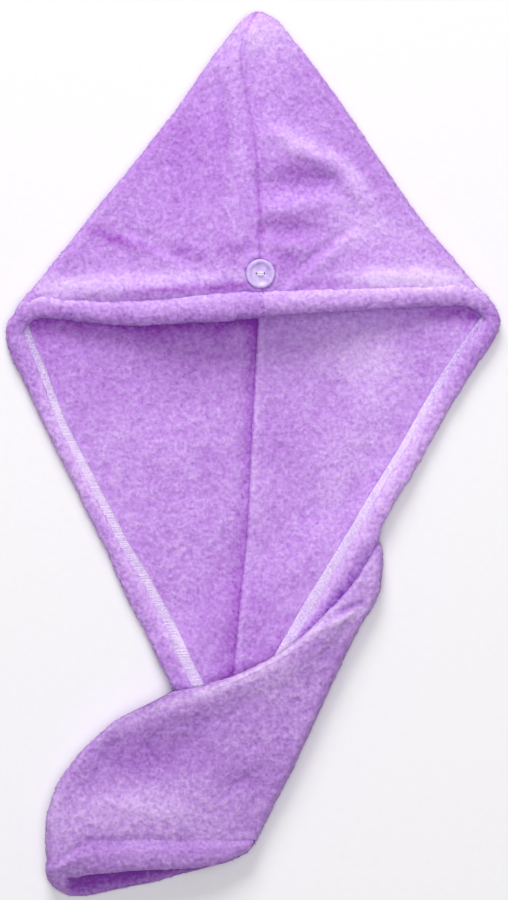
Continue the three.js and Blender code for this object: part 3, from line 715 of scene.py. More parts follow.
FRONT_COLUMNS = 68
FOLD_COLUMNS = 10
BACK_COLUMNS = 58
SEAM_CROWDING = 1.3
RIM_CROWDING = 1.15
HOOD_ROWS = 88
TIP_ROWS = 10
BACK_ROWS = 118
SEAM_PROUD = 0.7
SEAM_SPREAD = 7.0


def panel_columns():
    """Share of the way from the seam to the fold, and the turn round the fold, for each column."""
    front = np.linspace(0, 1, FRONT_COLUMNS) ** SEAM_CROWDING
    back = np.linspace(0, 1, BACK_COLUMNS) ** SEAM_CROWDING
    turns = np.linspace(math.pi / 2, -math.pi / 2, FOLD_COLUMNS + 2)
    share = np.concatenate([front, np.ones(FOLD_COLUMNS), back[::-1]])
    half = math.pi / 2
    turn = np.concatenate([np.full(FRONT_COLUMNS, half), turns[1:-1], np.full(BACK_COLUMNS, -half)])
    return share, turn


def hood_points(side, level, share, turn, lining):
    """Points of the hood at levels above the rim, on the outer face or on the lining."""
    rough_x = mix(seam_x(level), edge_x(side, level), share)
    slant = 1 - ease(GROOVE_MID, HOOD_TOP, level)
    y = level + (along(GROOVE, "x", rough_x, "y") - GROOVE_TUCK - GROOVE_MID) * slant
    seam = seam_x(y) - side.way * SEAM_OVERLAP
    reach = fold_reach(side, y)
    middle = fold_height(y) / 2
    fold_x = edge_x(side, y) - side.way * reach
    straight_x = mix(seam, fold_x, share)
    at_seam = shoulder(np.abs(straight_x - seam), SEAM_WIDE, SEAM_DEPTH)
    groove_depth = along(GROOVE, "x", straight_x, "depth")
    drop = np.maximum(at_seam, shoulder(level - GROOVE_MID - GROOVE_RISE, GROOVE_WIDE, groove_depth))
    inset = np.minimum(WALL, INSET_LIMIT * np.minimum(middle, reach))
    inset = inset - np.minimum(drop, inset / 2) if lining else np.minimum(drop, inset / 2)
    x = straight_x + side.way * (reach - inset) * np.cos(turn)
    on_front = np.isclose(turn, math.pi / 2)
    folded = middle + (middle - inset) * np.sin(turn)
    return np.stack([x, y, np.where(on_front, front_top(x, y) - inset, folded)], axis=-1)


def back_seam_x(y):
    return np.where(y < BACK_TOP, along(BACK_SEAM, "y", y, "x"), seam_x(y))


def back_points(side, y, share, lining):
    """Points of the back layer below the rim. Its lining is the side that shows in the V."""
    seam = along(BACK_SEAM, "y", y, "x") - side.way * SEAM_OVERLAP
    x = mix(seam, back_edge_x(side, y), share)
    away = np.abs(x - seam)
    if lining:
        proud = side.way * SEAM_PROUD * np.exp(-(away / SEAM_SPREAD) ** 2)
        z = WALL - shoulder(away, SEAM_WIDE, side.seam_drop) + proud + folds_at(BACK_FOLDS, x, y + 0 * x)
    else:
        z = shoulder(away, SEAM_WIDE, SEAM_UNDER)
    return np.stack([x, y + 0 * x, z + lift_at(x, y)], axis=-1)


def panel_free(points):
    """How far a panel's points may move sideways: not at all at the back seam, where its halves meet."""
    return ease(SEAM_WIDE / 4, SEAM_WIDE, np.abs(points[:, 0] - back_seam_x(points[:, 1])))


def panel(side):
    """One panel: back layer, side fold and front layer in one cloth. The front layer starts at the rim."""
    share, turn = panel_columns()
    columns = len(share)
    fold_end = FRONT_COLUMNS + FOLD_COLUMNS
    level = mix(GROOVE_MID, HOOD_TOP, np.linspace(0, 1, HOOD_ROWS) ** RIM_CROWDING)
    tip = np.linspace(HOOD_TOP, PEAK_TIP, TIP_ROWS + 1)[1:]
    level = np.concatenate([level, tip])[:, None]
    low = np.linspace(BACK_FOOT, BACK_TOP, BACK_ROWS)[:, None]
    grids = []
    for lining in (False, True):
        above = hood_points(side, level, share[None, :], turn[None, :], lining)
        below = back_points(side, low, share[None, :], lining)
        grids.append(np.concatenate([below, above]))
    rows = len(low) + len(level)
    exists = np.ones((rows - 1, columns - 1), dtype=bool)
    exists[:len(low), :fold_end] = False
    return closed_cloth(*grids, exists=exists)


# Hems: closed tubes along their middle lines, slightly puckered by the stitching

HEM_STEP = 1.3
HEM_SIDES = 34
HEM_FINE = 3000
HEM_END_ROUND = 1.2
HEM_END_SHARE = 0.86
PUCKER = table(
    "lump rise",
    (15, 0.4),
    (6, 0.18),
)


def spine(rows, step):
    """Places at equal steps along a hem's middle line, with the values of its table there."""
    index = dict(rows, index=np.arange(len(rows["x"]), dtype=float))
    fine = np.linspace(0, len(rows["x"]) - 1, HEM_FINE)
    x, y = (along(index, "index", fine, name) for name in "xy")
    run = np.concatenate([[0], np.cumsum(np.hypot(np.diff(x), np.diff(y)))])
    count = int(run[-1] / step)
    place = np.interp(np.linspace(0, run[-1], count), run, fine)
    made = {name: along(index, "index", place, name) for name in rows}
    made["run"] = np.linspace(0, run[-1], count)
    heading = np.stack([np.gradient(made["x"]), np.gradient(made["y"])], axis=-1)
    made["heading"] = unit(heading)
    return made


def band(centres, heading, wide, high, sides, squareness):
    """Rings of points round a line: superellipses that stand upright on it."""
    turn = np.linspace(0, 2 * math.pi, sides, endpoint=False)[None, :]
    sideways = np.sign(np.cos(turn)) * np.abs(np.cos(turn)) ** squareness * wide[:, None] / 2
    up = np.sign(np.sin(turn)) * np.abs(np.sin(turn)) ** squareness * high[:, None] / 2
    x = centres[:, 0:1] - heading[:, 1:2] * sideways
    y = centres[:, 1:2] + heading[:, 0:1] * sideways
    return np.stack([x, y, centres[:, 2:3] + up], axis=-1)


def capped(rings):
    """Points and quads of a closed tube through rings, each end closed by a fan on one middle point."""
    count, sides = rings.shape[:2]
    quads = grid_quads(count, sides, ring=True)
    points = np.concatenate([rings.reshape(-1, 3), rings[:1].mean(axis=1), rings[-1:].mean(axis=1)])
    start, end = count * sides, count * sides + 1
    side = np.arange(0, sides, 2)
    first = np.stack([np.full(len(side), start), (side + 2) % sides, side + 1, side], axis=-1)
    last = (count - 1) * sides
    final = np.stack([
        np.full(len(side), end),
        last + side,
        last + side + 1,
        last + (side + 2) % sides,
    ], axis=-1)
    return outward(points, np.concatenate([quads, first, final]))


def hem(side):
    """A hem as points, quads and which of those are walls, which is none."""
    line = spine(side.hem, HEM_STEP)
    sink = HEM_SINK * ease(HEM_SINK_FROM, HEM_SINK_TO, np.abs(line["x"]))
    over_front = front_top(line["x"], line["y"]) - WALL / 2 - sink
    on_back = lift_at(line["x"], line["y"]) + line["high"] / 2
    z = mix(over_front, on_back, np.clip(line["round"], 0, 1))
    from_end = np.minimum(line["run"], line["run"][-1] - line["run"])
    share = np.clip(1 - from_end / HEM_END_ROUND, 0, 1)
    rounding = mix(HEM_END_SHARE, 1, np.sqrt(1 - share ** 2))
    centres = np.stack([line["x"], line["y"], z], axis=-1)
    rings = band(centres, line["heading"], line["wide"] * rounding, line["high"] * rounding, HEM_SIDES,
                 HEM_SQUARENESS)
    points, faces = capped(rings)
    return points, faces, np.zeros(len(faces), dtype=bool)


# Tail: rows and columns of its grid, and how the hem round its mouth swells

TAIL_ROWS = 112
TAIL_SPAN = 80
TAIL_FOLD = 12
NOSE_CROWDING = 1.25
MOUTH_ROWS = 20
SWELL_EARLY = 0.85
SWELL_TURN = 0.88
SWELL_START = 0.45


def tail_columns():
    """Share from the left fold to the right one, the turn round a fold, and which fold, for each column."""
    span = np.linspace(0, 1, TAIL_SPAN)
    turns = np.linspace(math.pi / 2, -math.pi / 2, TAIL_FOLD + 2)[1:-1]
    half = math.pi / 2
    share = np.concatenate([span, np.ones(TAIL_FOLD), span[::-1], np.zeros(TAIL_FOLD)])
    turn = np.concatenate([np.full(TAIL_SPAN, half), turns, np.full(TAIL_SPAN, -half), turns[::-1]])
    end = np.concatenate([np.zeros(TAIL_SPAN), np.ones(TAIL_FOLD), np.zeros(TAIL_SPAN), -np.ones(TAIL_FOLD)])
    return share, turn, end


def tail_points(section, share, turn, end, inset):
    """Points of the tail's sleeve at sections and columns, inset from its outer face.

    The groove over the mouth's hem, which is the last section, waves and drops towards the left corner."""
    at = {name: along(TAIL, "section", section, name) for name in TAIL if name != "section"}
    across = unit(np.stack([at["rightX"] - at["leftX"], at["rightY"] - at["leftY"]], axis=-1))
    across_x, across_y = across[..., 0], across[..., 1]
    right_reach = mix(TAIL_FOLD_TIGHT, TAIL_FOLD_REACH, ease(0, TAIL_TIGHT_SECTIONS, section))
    left_x = at["leftX"] + across_x * TAIL_FOLD_REACH
    left_y = at["leftY"] + across_y * TAIL_FOLD_REACH
    x = mix(left_x, at["rightX"] - across_x * right_reach, share)
    y = mix(left_y, at["rightY"] - across_y * right_reach, share)
    near_left = 1 - ease(TAIL["leftX"][-1], TAIL["leftX"][-1] + MOUTH_DROP_WIDE, x)
    shift = MOUTH_WAVE * np.sin(x / MOUTH_WAVE_LONG) - MOUTH_DROP * near_left
    y = y + shift * ease(TAIL_LAST - 1, TAIL_LAST, section)
    upper = (end == 0) & (turn > 0)
    ahead = np.where(upper, at["bow"] * 4 * share * (1 - share), 0)
    reach = np.where(end > 0, right_reach, TAIL_FOLD_REACH)
    out = end * (reach - inset) * np.cos(turn)
    x = x + across_y * ahead + across_x * out
    y = y - across_x * ahead + across_y * out
    ends = mix(at["leftHigh"], at["rightHigh"], share)
    calm = ease(0, CALM_SHARE, 1 - np.abs(2 * share - 1))
    top = ends + at["crown"] * np.sin(math.pi * share) + calm * folds_at(TAIL_FOLDS, x, y) - inset
    folded = ends / 2 + (ends / 2 - inset) * np.sin(turn)
    return np.stack([x, y, np.where(upper, top, folded)], axis=-1)


def mouth_groove(share, turn, distance):
    """The stitched groove above the mouth's hem, pressed into the upper layer and fading at its ends."""
    depth = mix(SEAM_DEPTH, along(MOUTH_GROOVE, "share", share, "depth"), (1 + np.sin(turn)) / 2)
    return depth * np.exp(-(distance / MOUTH_GROOVE_WIDE) ** 2)


def tail():
    """The tail's sleeve, from its rolled upper edge to the groove over the mouth's hem."""
    share, turn, end = (values[None, :] for values in tail_columns())
    row = np.linspace(0, 1, TAIL_ROWS)[:, None] ** NOSE_CROWDING
    section = TAIL_LAST * row
    span = np.hypot(TAIL["rightX"][0] - TAIL["rightX"][-1], TAIL["rightY"][0] - TAIL["rightY"][-1])
    roll = mix(SEAM_DEPTH, NOSE_DEPTH, (1 + np.sin(turn)) / 2)
    drop = shoulder(span * row, NOSE_WIDE, roll) + mouth_groove(share, turn, span * (1 - row))
    face = tail_points(section, share, turn, end, drop)
    lining = tail_points(section, share, turn, end, np.maximum(WALL, drop + GAP))
    return closed_cloth(face, lining, ring=True)


def tail_hem():
    """The hem round the mouth goes on from the tail's last section and swells towards its lip."""
    share, turn, end = (values[None, :] for values in tail_columns())
    out = np.linspace(0, 1, MOUTH_ROWS)[:, None]
    swell = np.sin(math.pi * out ** SWELL_EARLY * SWELL_TURN)
    wall = mix(WALL, MOUTH_WALL, swell)
    lower = (1 - np.sin(turn)) / 2
    last = np.full_like(share, TAIL_LAST)
    left, right = TAIL["leftX"][-1], TAIL["rightX"][-1]
    groove = tail_points(last, share, turn, end, 0)
    across = (groove[..., 0] - left) / (right - left)
    lip_x = mix(MOUTH_LEFT, MOUTH_RIGHT, across)
    lip_y = mix(along(MOUTH, "x", lip_x, "upper"), along(MOUTH, "x", lip_x, "lower"), lower)
    shift_x = lip_x - mix(left, right, across)
    depth = np.abs(lip_y - groove[..., 1])
    lip = shoulder(depth * (1 - out), LIP_WIDE, (wall - LIP_EDGE) / 2)
    grids = []
    for inset in (mouth_groove(share, turn, depth * out) + lip, wall - lip):
        spot = tail_points(last, share, turn, end, inset)
        x = spot[..., 0] + shift_x * out ** MOUTH_TURN_IN
        y = mix(spot[..., 1] + SEAM_OVERLAP, lip_y, out)
        bulge = MOUTH_BULGE * np.minimum(1, depth / MOUTH_DEEP) * (1 - lower)
        z = spot[..., 2] + bulge * swell * ease(0, SWELL_START, out)
        slump = MOUTH_SLUMP * out ** 2 * (1 - ease(MOUTH_LEFT, MOUTH_LEFT + MOUTH_SLUMP_WIDE, x))
        grids.append(np.stack([x, y, z * (1 - slump)], axis=-1))
    return closed_cloth(*grids, ring=True)


# Fleece: the brushed face stands in soft tufts, with loose fibre tips over them. A real tip is about 0.02 mm
# thick, which is too fine to show, so each one is drawn as wide as a wisp of many.

FIBRE_ROOT = 0.22
FIBRE_WIDE = 0.32
FIBRE_HIGH = 0.2
FIBRE_LONG = 1.15
FIBRE_RISE = 0.34
FIBRE_RIDGE = 0.3
FIBRE_SHORTEST = 0.7
FIBRE_SPREAD = 0.6
FIBRE_TILT = 0.3
NAP = np.array([0.1, -0.25, 0.0])
FLOOR_CLEAR = 0.15
BASE_TONE = 0.2
# painted shade: dips of the tufts darker and their tops paler, from the height of each tuft
TUFT_PAINTED_SHADE = 0.28
FIBRE_TONE = 0.07
DARK_FIBRES = 0.16
DARK_FIBRE_TONE = 0.3


def fibres(points, faces, density, seed):
    """Loose fibre tips on a mesh, so many to a square millimetre as density says.

    Gives their points, triangles, normals, roots and tones."""
    draw = np.random.RandomState(seed)
    corners = points[faces]
    normals = point_normals(points, faces)[faces]
    flat = np.cross(corners[:, 1] - corners[:, 0], corners[:, 2] - corners[:, 0])
    area = np.linalg.norm(flat, axis=-1) / 2
    count = np.floor(area * density(corners.mean(axis=1), unit(flat)) + draw.rand(len(faces))).astype(int)
    chosen = np.repeat(np.arange(len(faces)), count)
    u, v = np.sort(draw.rand(2, len(chosen), 1), axis=0)
    weights = [u, v - u, 1 - v]
    root = sum(weight * corners[chosen, k] for k, weight in enumerate(weights))
    normal = unit(sum(weight * normals[chosen, k] for k, weight in enumerate(weights)))
    lean = draw.normal(size=root.shape) + NAP
    lean -= normal * np.sum(lean * normal, axis=-1, keepdims=True)
    ahead = unit(lean)
    half = np.cross(normal, ahead) * FIBRE_WIDE / 2
    size = FIBRE_SHORTEST + FIBRE_SPREAD * draw.rand(len(root), 1)
    low = root - normal * FIBRE_ROOT
    ridge = root + ahead * FIBRE_LONG * FIBRE_RIDGE * size + normal * FIBRE_HIGH * size
    tip = root + (ahead + normal * FIBRE_RISE) * FIBRE_LONG * size
    made = np.stack([low - half, low + half, ridge, tip], axis=1)
    made[..., 2] = np.maximum(made[..., 2], FLOOR_CLEAR)
    tilted = unit(normal + FIBRE_TILT * ahead)
    soft = np.stack([unit(normal - half), unit(normal + half), normal, tilted], axis=1)
    first = 4 * np.arange(len(root))[:, None, None]
    triangles = (first + np.array([[0, 2, 1], [0, 3, 2], [1, 2, 3], [0, 1, 3]])).reshape(-1, 3)
    tone = FIBRE_TONE - DARK_FIBRE_TONE * (draw.rand(len(root)) < DARK_FIBRES)
    return made.reshape(-1, 3), triangles, soft.reshape(-1, 3), np.repeat(root, 4, axis=0), np.repeat(tone, 4)


# Materials

def linear(hexed):
    """Linear colour of an sRGB hex value, by the curve of the sRGB standard."""
    parts = [int(hexed[k:k + 2], 16) / 255 for k in (1, 3, 5)]
    return tuple(p / 12.92 if p <= 0.04045 else ((p + 0.055) / 1.055) ** 2.4 for p in parts) + (1.0,)


def add_node(tree, kind, inputs=None, **settings):
    """Adds a node, with its settings, and with a value or what feeds it for each socket in inputs."""
    node = tree.nodes.new(kind)
    for name, value in settings.items():
        setattr(node, name, value)
    for name, value in (inputs or {}).items():
        if isinstance(value, bpy.types.NodeSocket):
            tree.links.new(value, node.inputs[name])
        else:
            node.inputs[name].default_value = value
    return node


def new_material(name):
    made = bpy.data.materials.new(name)
    made.use_nodes = True
    made.node_tree.nodes.clear()
    return made, made.node_tree


def finish_material(tree, shader):
    add_node(tree, "ShaderNodeOutputMaterial", {"Surface": shader.outputs["BSDF"]})


def set_ramp(node, *stops):
    """Colours of a ramp, as places and hex values."""
    ramp = node.color_ramp
    while len(ramp.elements) < len(stops):
        ramp.elements.new(0.5)
    for element, (place, colour) in zip(ramp.elements, stops):
        element.position = place
        element.color = linear(colour)


def per_metre(millimetres):
    """Scale of a pattern whose repeat is this many millimetres."""
    return 1 / (millimetres * MM)


TUFT_GRAIN = 1.9
TUFT_SHARE = 0.6
DRIFT_GRAIN = 30.0
DRIFT_SHARE = 0.2


# Coral fleece: polyester microfibre knit, brushed and tumbled into tufts, which scatter light softly
# and look paler where the pile stands across the view. The tone attribute and a noise mottle pick its colour;
# the same noise bumps the face, so the dips between the tufts are deep violet as painted shade.
# Tufts and the slow drift of the nap have their real sizes. Single fibres are too fine to show.
def coral_fleece(name, deep, middle, pale):
    made, tree = new_material(name)
    place = add_node(tree, "ShaderNodeTexCoord")
    tone = add_node(tree, "ShaderNodeAttribute", attribute_name="tone")
    tufts = add_node(tree, "ShaderNodeTexNoise", {
        "Vector": place.outputs["Object"], "Scale": per_metre(TUFT_GRAIN), "Detail": 2.0, "Roughness": 0.5,
    })
    drift = add_node(tree, "ShaderNodeTexNoise", {
        "Vector": place.outputs["Object"], "Scale": per_metre(DRIFT_GRAIN), "Detail": 1.0,
    })
    mottled = add_node(tree, "ShaderNodeMath", {
        0: tufts.outputs["Fac"], 1: TUFT_SHARE, 2: tone.outputs["Fac"],
    }, operation="MULTIPLY_ADD")
    shaded = add_node(tree, "ShaderNodeMath", {
        0: drift.outputs["Fac"], 1: DRIFT_SHARE, 2: mottled.outputs[0],
    }, operation="MULTIPLY_ADD")
    ramp = add_node(tree, "ShaderNodeValToRGB", {"Fac": shaded.outputs[0]})
    set_ramp(ramp, (0.1, deep), (0.6, middle), (1.0, pale))
    bump = add_node(tree, "ShaderNodeBump", {
        "Height": tufts.outputs["Fac"], "Strength": 0.7, "Distance": 0.45 * MM,
    })
    shader = add_node(tree, "ShaderNodeBsdfPrincipled", {
        "Base Color": ramp.outputs["Color"],
        "Normal": bump.outputs["Normal"],
        "Roughness": 0.95,
        "Specular IOR Level": 0.05,
        "Sheen Weight": 0.12,
        "Sheen Roughness": 0.5,
        "Sheen Tint": linear("#F0DCFF"),
    })
    finish_material(tree, shader)
    return made


FILAMENT_GRAIN = 0.8


# Overlock thread: textured polyester, matt and a little hairy, paler than the fleece it holds.
# Its filaments are a few hundredths of a millimetre thick and are drawn coarser, so that they show.
def overlock_thread(name, deep, pale):
    made, tree = new_material(name)
    place = add_node(tree, "ShaderNodeTexCoord")
    tone = add_node(tree, "ShaderNodeAttribute", attribute_name="tone")
    fibres = add_node(tree, "ShaderNodeTexNoise", {
        "Vector": place.outputs["Object"], "Scale": per_metre(FILAMENT_GRAIN), "Detail": 2.0,
    })
    toned = add_node(tree, "ShaderNodeMath", {0: fibres.outputs["Fac"], 1: tone.outputs["Fac"]})
    ramp = add_node(tree, "ShaderNodeValToRGB", {"Fac": toned.outputs[0]})
    set_ramp(ramp, (0.0, deep), (0.5, pale))
    bump = add_node(tree, "ShaderNodeBump", {
        "Height": fibres.outputs["Fac"], "Strength": 0.4, "Distance": 0.1 * MM,
    })
    shader = add_node(tree, "ShaderNodeBsdfPrincipled", {
        "Base Color": ramp.outputs["Color"],
        "Normal": bump.outputs["Normal"],
        "Roughness": 0.75,
        "Sheen Weight": 0.3,
        "Sheen Tint": linear("#FFFFFF"),
    })
    finish_material(tree, shader)
    return made


SWIRL_SIZE = 5.0


# Pearl polyester: cast resin with a milky swirl, tumbled to a soft polish, so it glows and has soft lights.
def pearl_polyester():
    made, tree = new_material("pearl_polyester")
    place = add_node(tree, "ShaderNodeTexCoord")
    swirl = add_node(tree, "ShaderNodeTexNoise", {
        "Vector": place.outputs["Object"], "Scale": per_metre(SWIRL_SIZE), "Detail": 3.0, "Distortion": 1.5,
    })
    ramp = add_node(tree, "ShaderNodeValToRGB", {"Fac": swirl.outputs["Fac"]})
    set_ramp(ramp, (0.3, "#BC9DE4"), (0.7, "#DAC6F3"))
    shader = add_node(tree, "ShaderNodeBsdfPrincipled", {
        "Base Color": ramp.outputs["Color"],
        "Roughness": 0.36,
        "IOR": 1.5,
        "Subsurface Weight": 0.4,
        "Subsurface Radius": (2.0 * MM, 2.0 * MM, 2.4 * MM),
        "Subsurface Scale": 1.0,
        "Coat Weight": 0.15,
        "Coat Roughness": 0.15,
    })
    finish_material(tree, shader)
    return made


GROUND_GRAIN = 4.0


# Matt painted table: a plain pale ground that takes soft shadows. Its grain is that of rolled paint.
def pale_table():
    made, tree = new_material("pale_table")
    place = add_node(tree, "ShaderNodeTexCoord")
    grain = add_node(tree, "ShaderNodeTexNoise", {
        "Vector": place.outputs["Object"], "Scale": per_metre(GROUND_GRAIN), "Detail": 2.0,
    })
    ramp = add_node(tree, "ShaderNodeValToRGB", {"Fac": grain.outputs["Fac"]})
    set_ramp(ramp, (0.0, "#F1F0F3"), (1.0, "#F5F4F7"))
    shader = add_node(tree, "ShaderNodeBsdfPrincipled", {
        "Base Color": ramp.outputs["Color"],
        "Roughness": 0.8,
        "Specular IOR Level": 0.2,
    })
    finish_material(tree, shader)
    return made


# the deep colour of each fleece is what its painted shade reaches
FLEECE = coral_fleece("lilac_coral_fleece", "#9640BA", "#C597E6", "#E8CAFC")
HEM_FLEECE = coral_fleece("turned_lilac_fleece", "#8A44B8", "#CCA0EA", "#EED4FD")
TAIL_FLEECE = coral_fleece("lilac_coral_fleece_of_the_tail", "#8440AA", "#B98FD8", "#E2C4F4")
OVERLOCK = overlock_thread("pale_overlock_thread", "#A87FD0", "#EAD6FA")
BUTTON_SEWING = overlock_thread("white_button_thread", "#CDBCE4", "#EDE2FA")
PEARL = pearl_polyester()


# Pieces of cloth with their pile: fibre tips to a square millimetre, and where tips are thin or left out

DENSITY = 0.85
UNDER_DENSITY = 0.05
UNDER_CLEAR = 1.0
UNDER_TILT = -0.6
FACING_UP = 0.5
FINE_FROM = 0.5
SLEEVE_HOLLOW = 6.0

# Painted light and shade: how much darker seams, hollows and shaded places of the cloth are painted, and how
# much paler its ridges
# painted highlights on the folds' ridges and painted shade in their valleys, as tone for each millimetre of
# rise
FOLD_PAINTED_LIGHT = 0.05
# painted shade in the seam grooves, wide on the lower side of the back seam, and BACK_SEAM_GLEAM a painted
# highlight on its proud edge
FRONT_SEAM_PAINTED_SHADE = 0.1
FRONT_SEAM_WIDE = 1.8
BACK_SEAM_LOW_PAINTED_SHADE = 0.2
BACK_SEAM_PAINTED_SHADE = 0.3
BACK_SEAM_WIDE = 5.0
BACK_SEAM_NARROW = 0.6
BACK_SEAM_FADE = -70.0
BACK_SEAM_LIP = 1.8
BACK_SEAM_GLEAM = 0.1
HOOD_TONE = -0.05
# painted light on the rim's hem: paler on its upper half and darker on its lower half
RIM_PAINTED_LIGHT = 0.16
RIM_TONE_FROM = 60.0
RIM_TONE_TO = 70.0
HOOD_FROM = -8.0
HOOD_TO = -4.0
# painted shade along the V's hems, by height: darkest near the top under the rim, and darker again towards
# the foot
HEM_PAINTED_SHADE = table(
    "y tone",
    (75, 0.1),
    (60, 0.17),
    (45, 0.14),
    (27, 0.02),
    (12, -0.04),
    (-20, -0.04),
    (-45, 0.03),
    (-80, 0.05),
    (-112, 0.12),
)
# a painted highlight along the inner side of the V's hems, next to the bindings
HEM_GLEAM = 0.16
HEM_GLEAM_FROM = 0.45
MOUTH_TONE = 0.06
# painted shade inside the tail's mouth
CAVITY_PAINTED_SHADE = 0.47
CAVITY_START = 1.5
CAVITY_DEEP = 7.0
CAVITY_EDGE = 0.38


def open_density(centre, normal):
    """Full pile on what looks up or sideways, thin pile on linings and none on what lies on the table."""
    shown = mix(UNDER_DENSITY, DENSITY, ease(UNDER_TILT, 0, normal[:, 2]))
    return shown * ease(0.0, UNDER_CLEAR, centre[:, 2])


def panel_density(side):
    """Full pile on the hood and in the V. The hood's inside has thin pile."""
    def density(centre, normal):
        x, y, z = centre.T
        inside = (y > along(GROOVE, "x", x, "y")) & (z > WALL / 3) & (z < front_top(x, y) - WALL / 2)
        inside &= np.abs(x) < np.abs(edge_x(side, y)) - WALL
        shown = open_density(centre, normal)
        return np.where(inside, np.minimum(shown, UNDER_DENSITY), shown)
    return density


def tail_density(centre, normal):
    """Full pile on the outside of the tail. Its inside has thin pile."""
    x, y, z = centre.T
    inside = (z < SLEEVE_HOLLOW) & (normal[:, 2] > FACING_UP) & (y > TAIL["leftY"][-1])
    shown = open_density(centre, normal)
    return np.where(inside, np.minimum(shown, UNDER_DENSITY), shown)


def rim_foot(side, x):
    """The lower edge of the rim's hem."""
    return along(side.rim, "x", x, "y") - along(side.rim, "x", x, "wide") / 2


def patches(rows, x, y):
    """Tone added by soft oval patches."""
    total = np.zeros(len(x))
    for row in range(len(rows["x"])):
        away_x = (x - rows["x"][row]) / rows["wide"][row]
        away_y = (y - rows["y"][row]) / rows["high"][row]
        total += rows["tone"][row] * np.exp(-away_x ** 2 - away_y ** 2)
    return total


def panel_shade(side):
    """Tone lost to painted shade in the seams, in the valleys of the folds, under the tail's edge and deep
    under the rim, and gained on painted highlights along ridges and the back seam's proud edge.
    """
    def shade(points):
        x, y, z = points.T
        over_rim = ease(HOOD_FROM, HOOD_TO, y - along(GROOVE, "x", x, "y"))
        on_front = over_rim * ease(WALL, 2 * WALL, z)
        front_seam = FRONT_SEAM_PAINTED_SHADE * np.exp(-((x - seam_x(y)) / FRONT_SEAM_WIDE) ** 2)
        from_seam = x - back_seam_x(y)
        seam_deep = mix(BACK_SEAM_LOW_PAINTED_SHADE, BACK_SEAM_PAINTED_SHADE, ease(BACK_SEAM_FADE, BACK_TOP, y))
        seam_wide = np.where(from_seam < 0, BACK_SEAM_WIDE, BACK_SEAM_NARROW)
        back_seam = seam_deep * np.exp(-(from_seam / seam_wide) ** 2)
        back_seam -= BACK_SEAM_GLEAM * np.exp(-(from_seam / BACK_SEAM_LIP - 1) ** 2) * (from_seam > 0)
        from_fold = np.abs(edge_x(side, y)) - np.abs(x)
        inside = ease(FOLD_REACH / 2, FOLD_REACH, from_fold) * (z > WALL / 2)
        under_rim_shade = side.rim_painted_shade * np.exp(-np.maximum(0, rim_foot(side, x) - y) / side.rim_fade) * inside
        front_painted_light = FOLD_PAINTED_LIGHT * folds_at(HOOD_FOLDS, x, y)
        front_painted_light += folds_at(HOOD_LINES_OF_PAINTED_LIGHT, x, y) + patches(HOOD_PAINTED_LIGHT, x, y)
        back_painted_light = FOLD_PAINTED_LIGHT * folds_at(BACK_FOLDS, x, y) + patches(BACK_PAINTED_LIGHT, x, y)
        back = under_rim_shade + back_seam + folds_at(TAIL_EDGE, x, y) - back_painted_light
        return mix(back, front_seam - HOOD_TONE - front_painted_light, on_front)
    return shade


def hem_shade(side):
    """Tone lost to painted shade on the lower half of the rim, along the V and where its hems run in under
    the tail, and gained on painted highlights on the upper half of the rim and the inner side of the V's
    hems.
    """
    def shade(points):
        x, y = points[:, 0], points[:, 1]
        middle = along(side.rim, "x", x, "y")
        up = np.clip(2 * (y - middle) / along(side.rim, "x", x, "wide"), -1, 1)
        on_rim = ease(RIM_TONE_FROM, RIM_TONE_TO, y)
        inner = hem_inner_x(side, y, 0)
        inwards = 1 - (x - inner) / (2 * (along(side.straight, "y", y, "x") - inner))
        # painted highlight along the inner side of the V's hems and painted shade by height along the V
        v_hem_painted_light = HEM_GLEAM * ease(HEM_GLEAM_FROM, 1, inwards) - along(HEM_PAINTED_SHADE, "y", y, "tone")
        # painted light on the rim's hem: paler on its upper half and darker on its lower half
        rim = RIM_PAINTED_LIGHT * up + side.hem_tone + patches(HEM_PAINTED_LIGHT, x, y)
        return folds_at(TAIL_EDGE, x, y) - mix(v_hem_painted_light, rim, on_rim)
    return shade


def tail_shade(points):
    """Tone lost to painted shade in the valleys of the folds and other hollows, and gained on painted
    highlights along the ridges, on the sleeve's upper layer only.
    """
    x, y, z = points.T
    on_top = ease(SLEEVE_HOLLOW, SLEEVE_HOLLOW + WALL, z)
    tail_painted_light = FOLD_PAINTED_LIGHT * folds_at(TAIL_FOLDS, x, y) + folds_at(TAIL_LINES_OF_PAINTED_LIGHT, x, y) + patches(TAIL_PAINTED_LIGHT, x, y)
    return -on_top * tail_painted_light


def mouth_shade(points):
    """Tone lost to painted shade inside the mouth, where the lower layer runs in under the upper one, with
    the tail's painted light and the constant MOUTH_TONE added.
    """
    x, y, z = points.T
    into = y - along(MOUTH, "x", x, "lower")
    inside = (z > WALL / 2) & (z < SLEEVE_HOLLOW + WALL)
    inside = inside * ease(MOUTH_LEFT + CAVITY_START, MOUTH_LEFT + CAVITY_DEEP, x)
    cavity = CAVITY_PAINTED_SHADE * mix(CAVITY_EDGE, 1, ease(0, CAVITY_DEEP, into)) * inside
    return cavity + tail_shade(points) + MOUTH_TONE


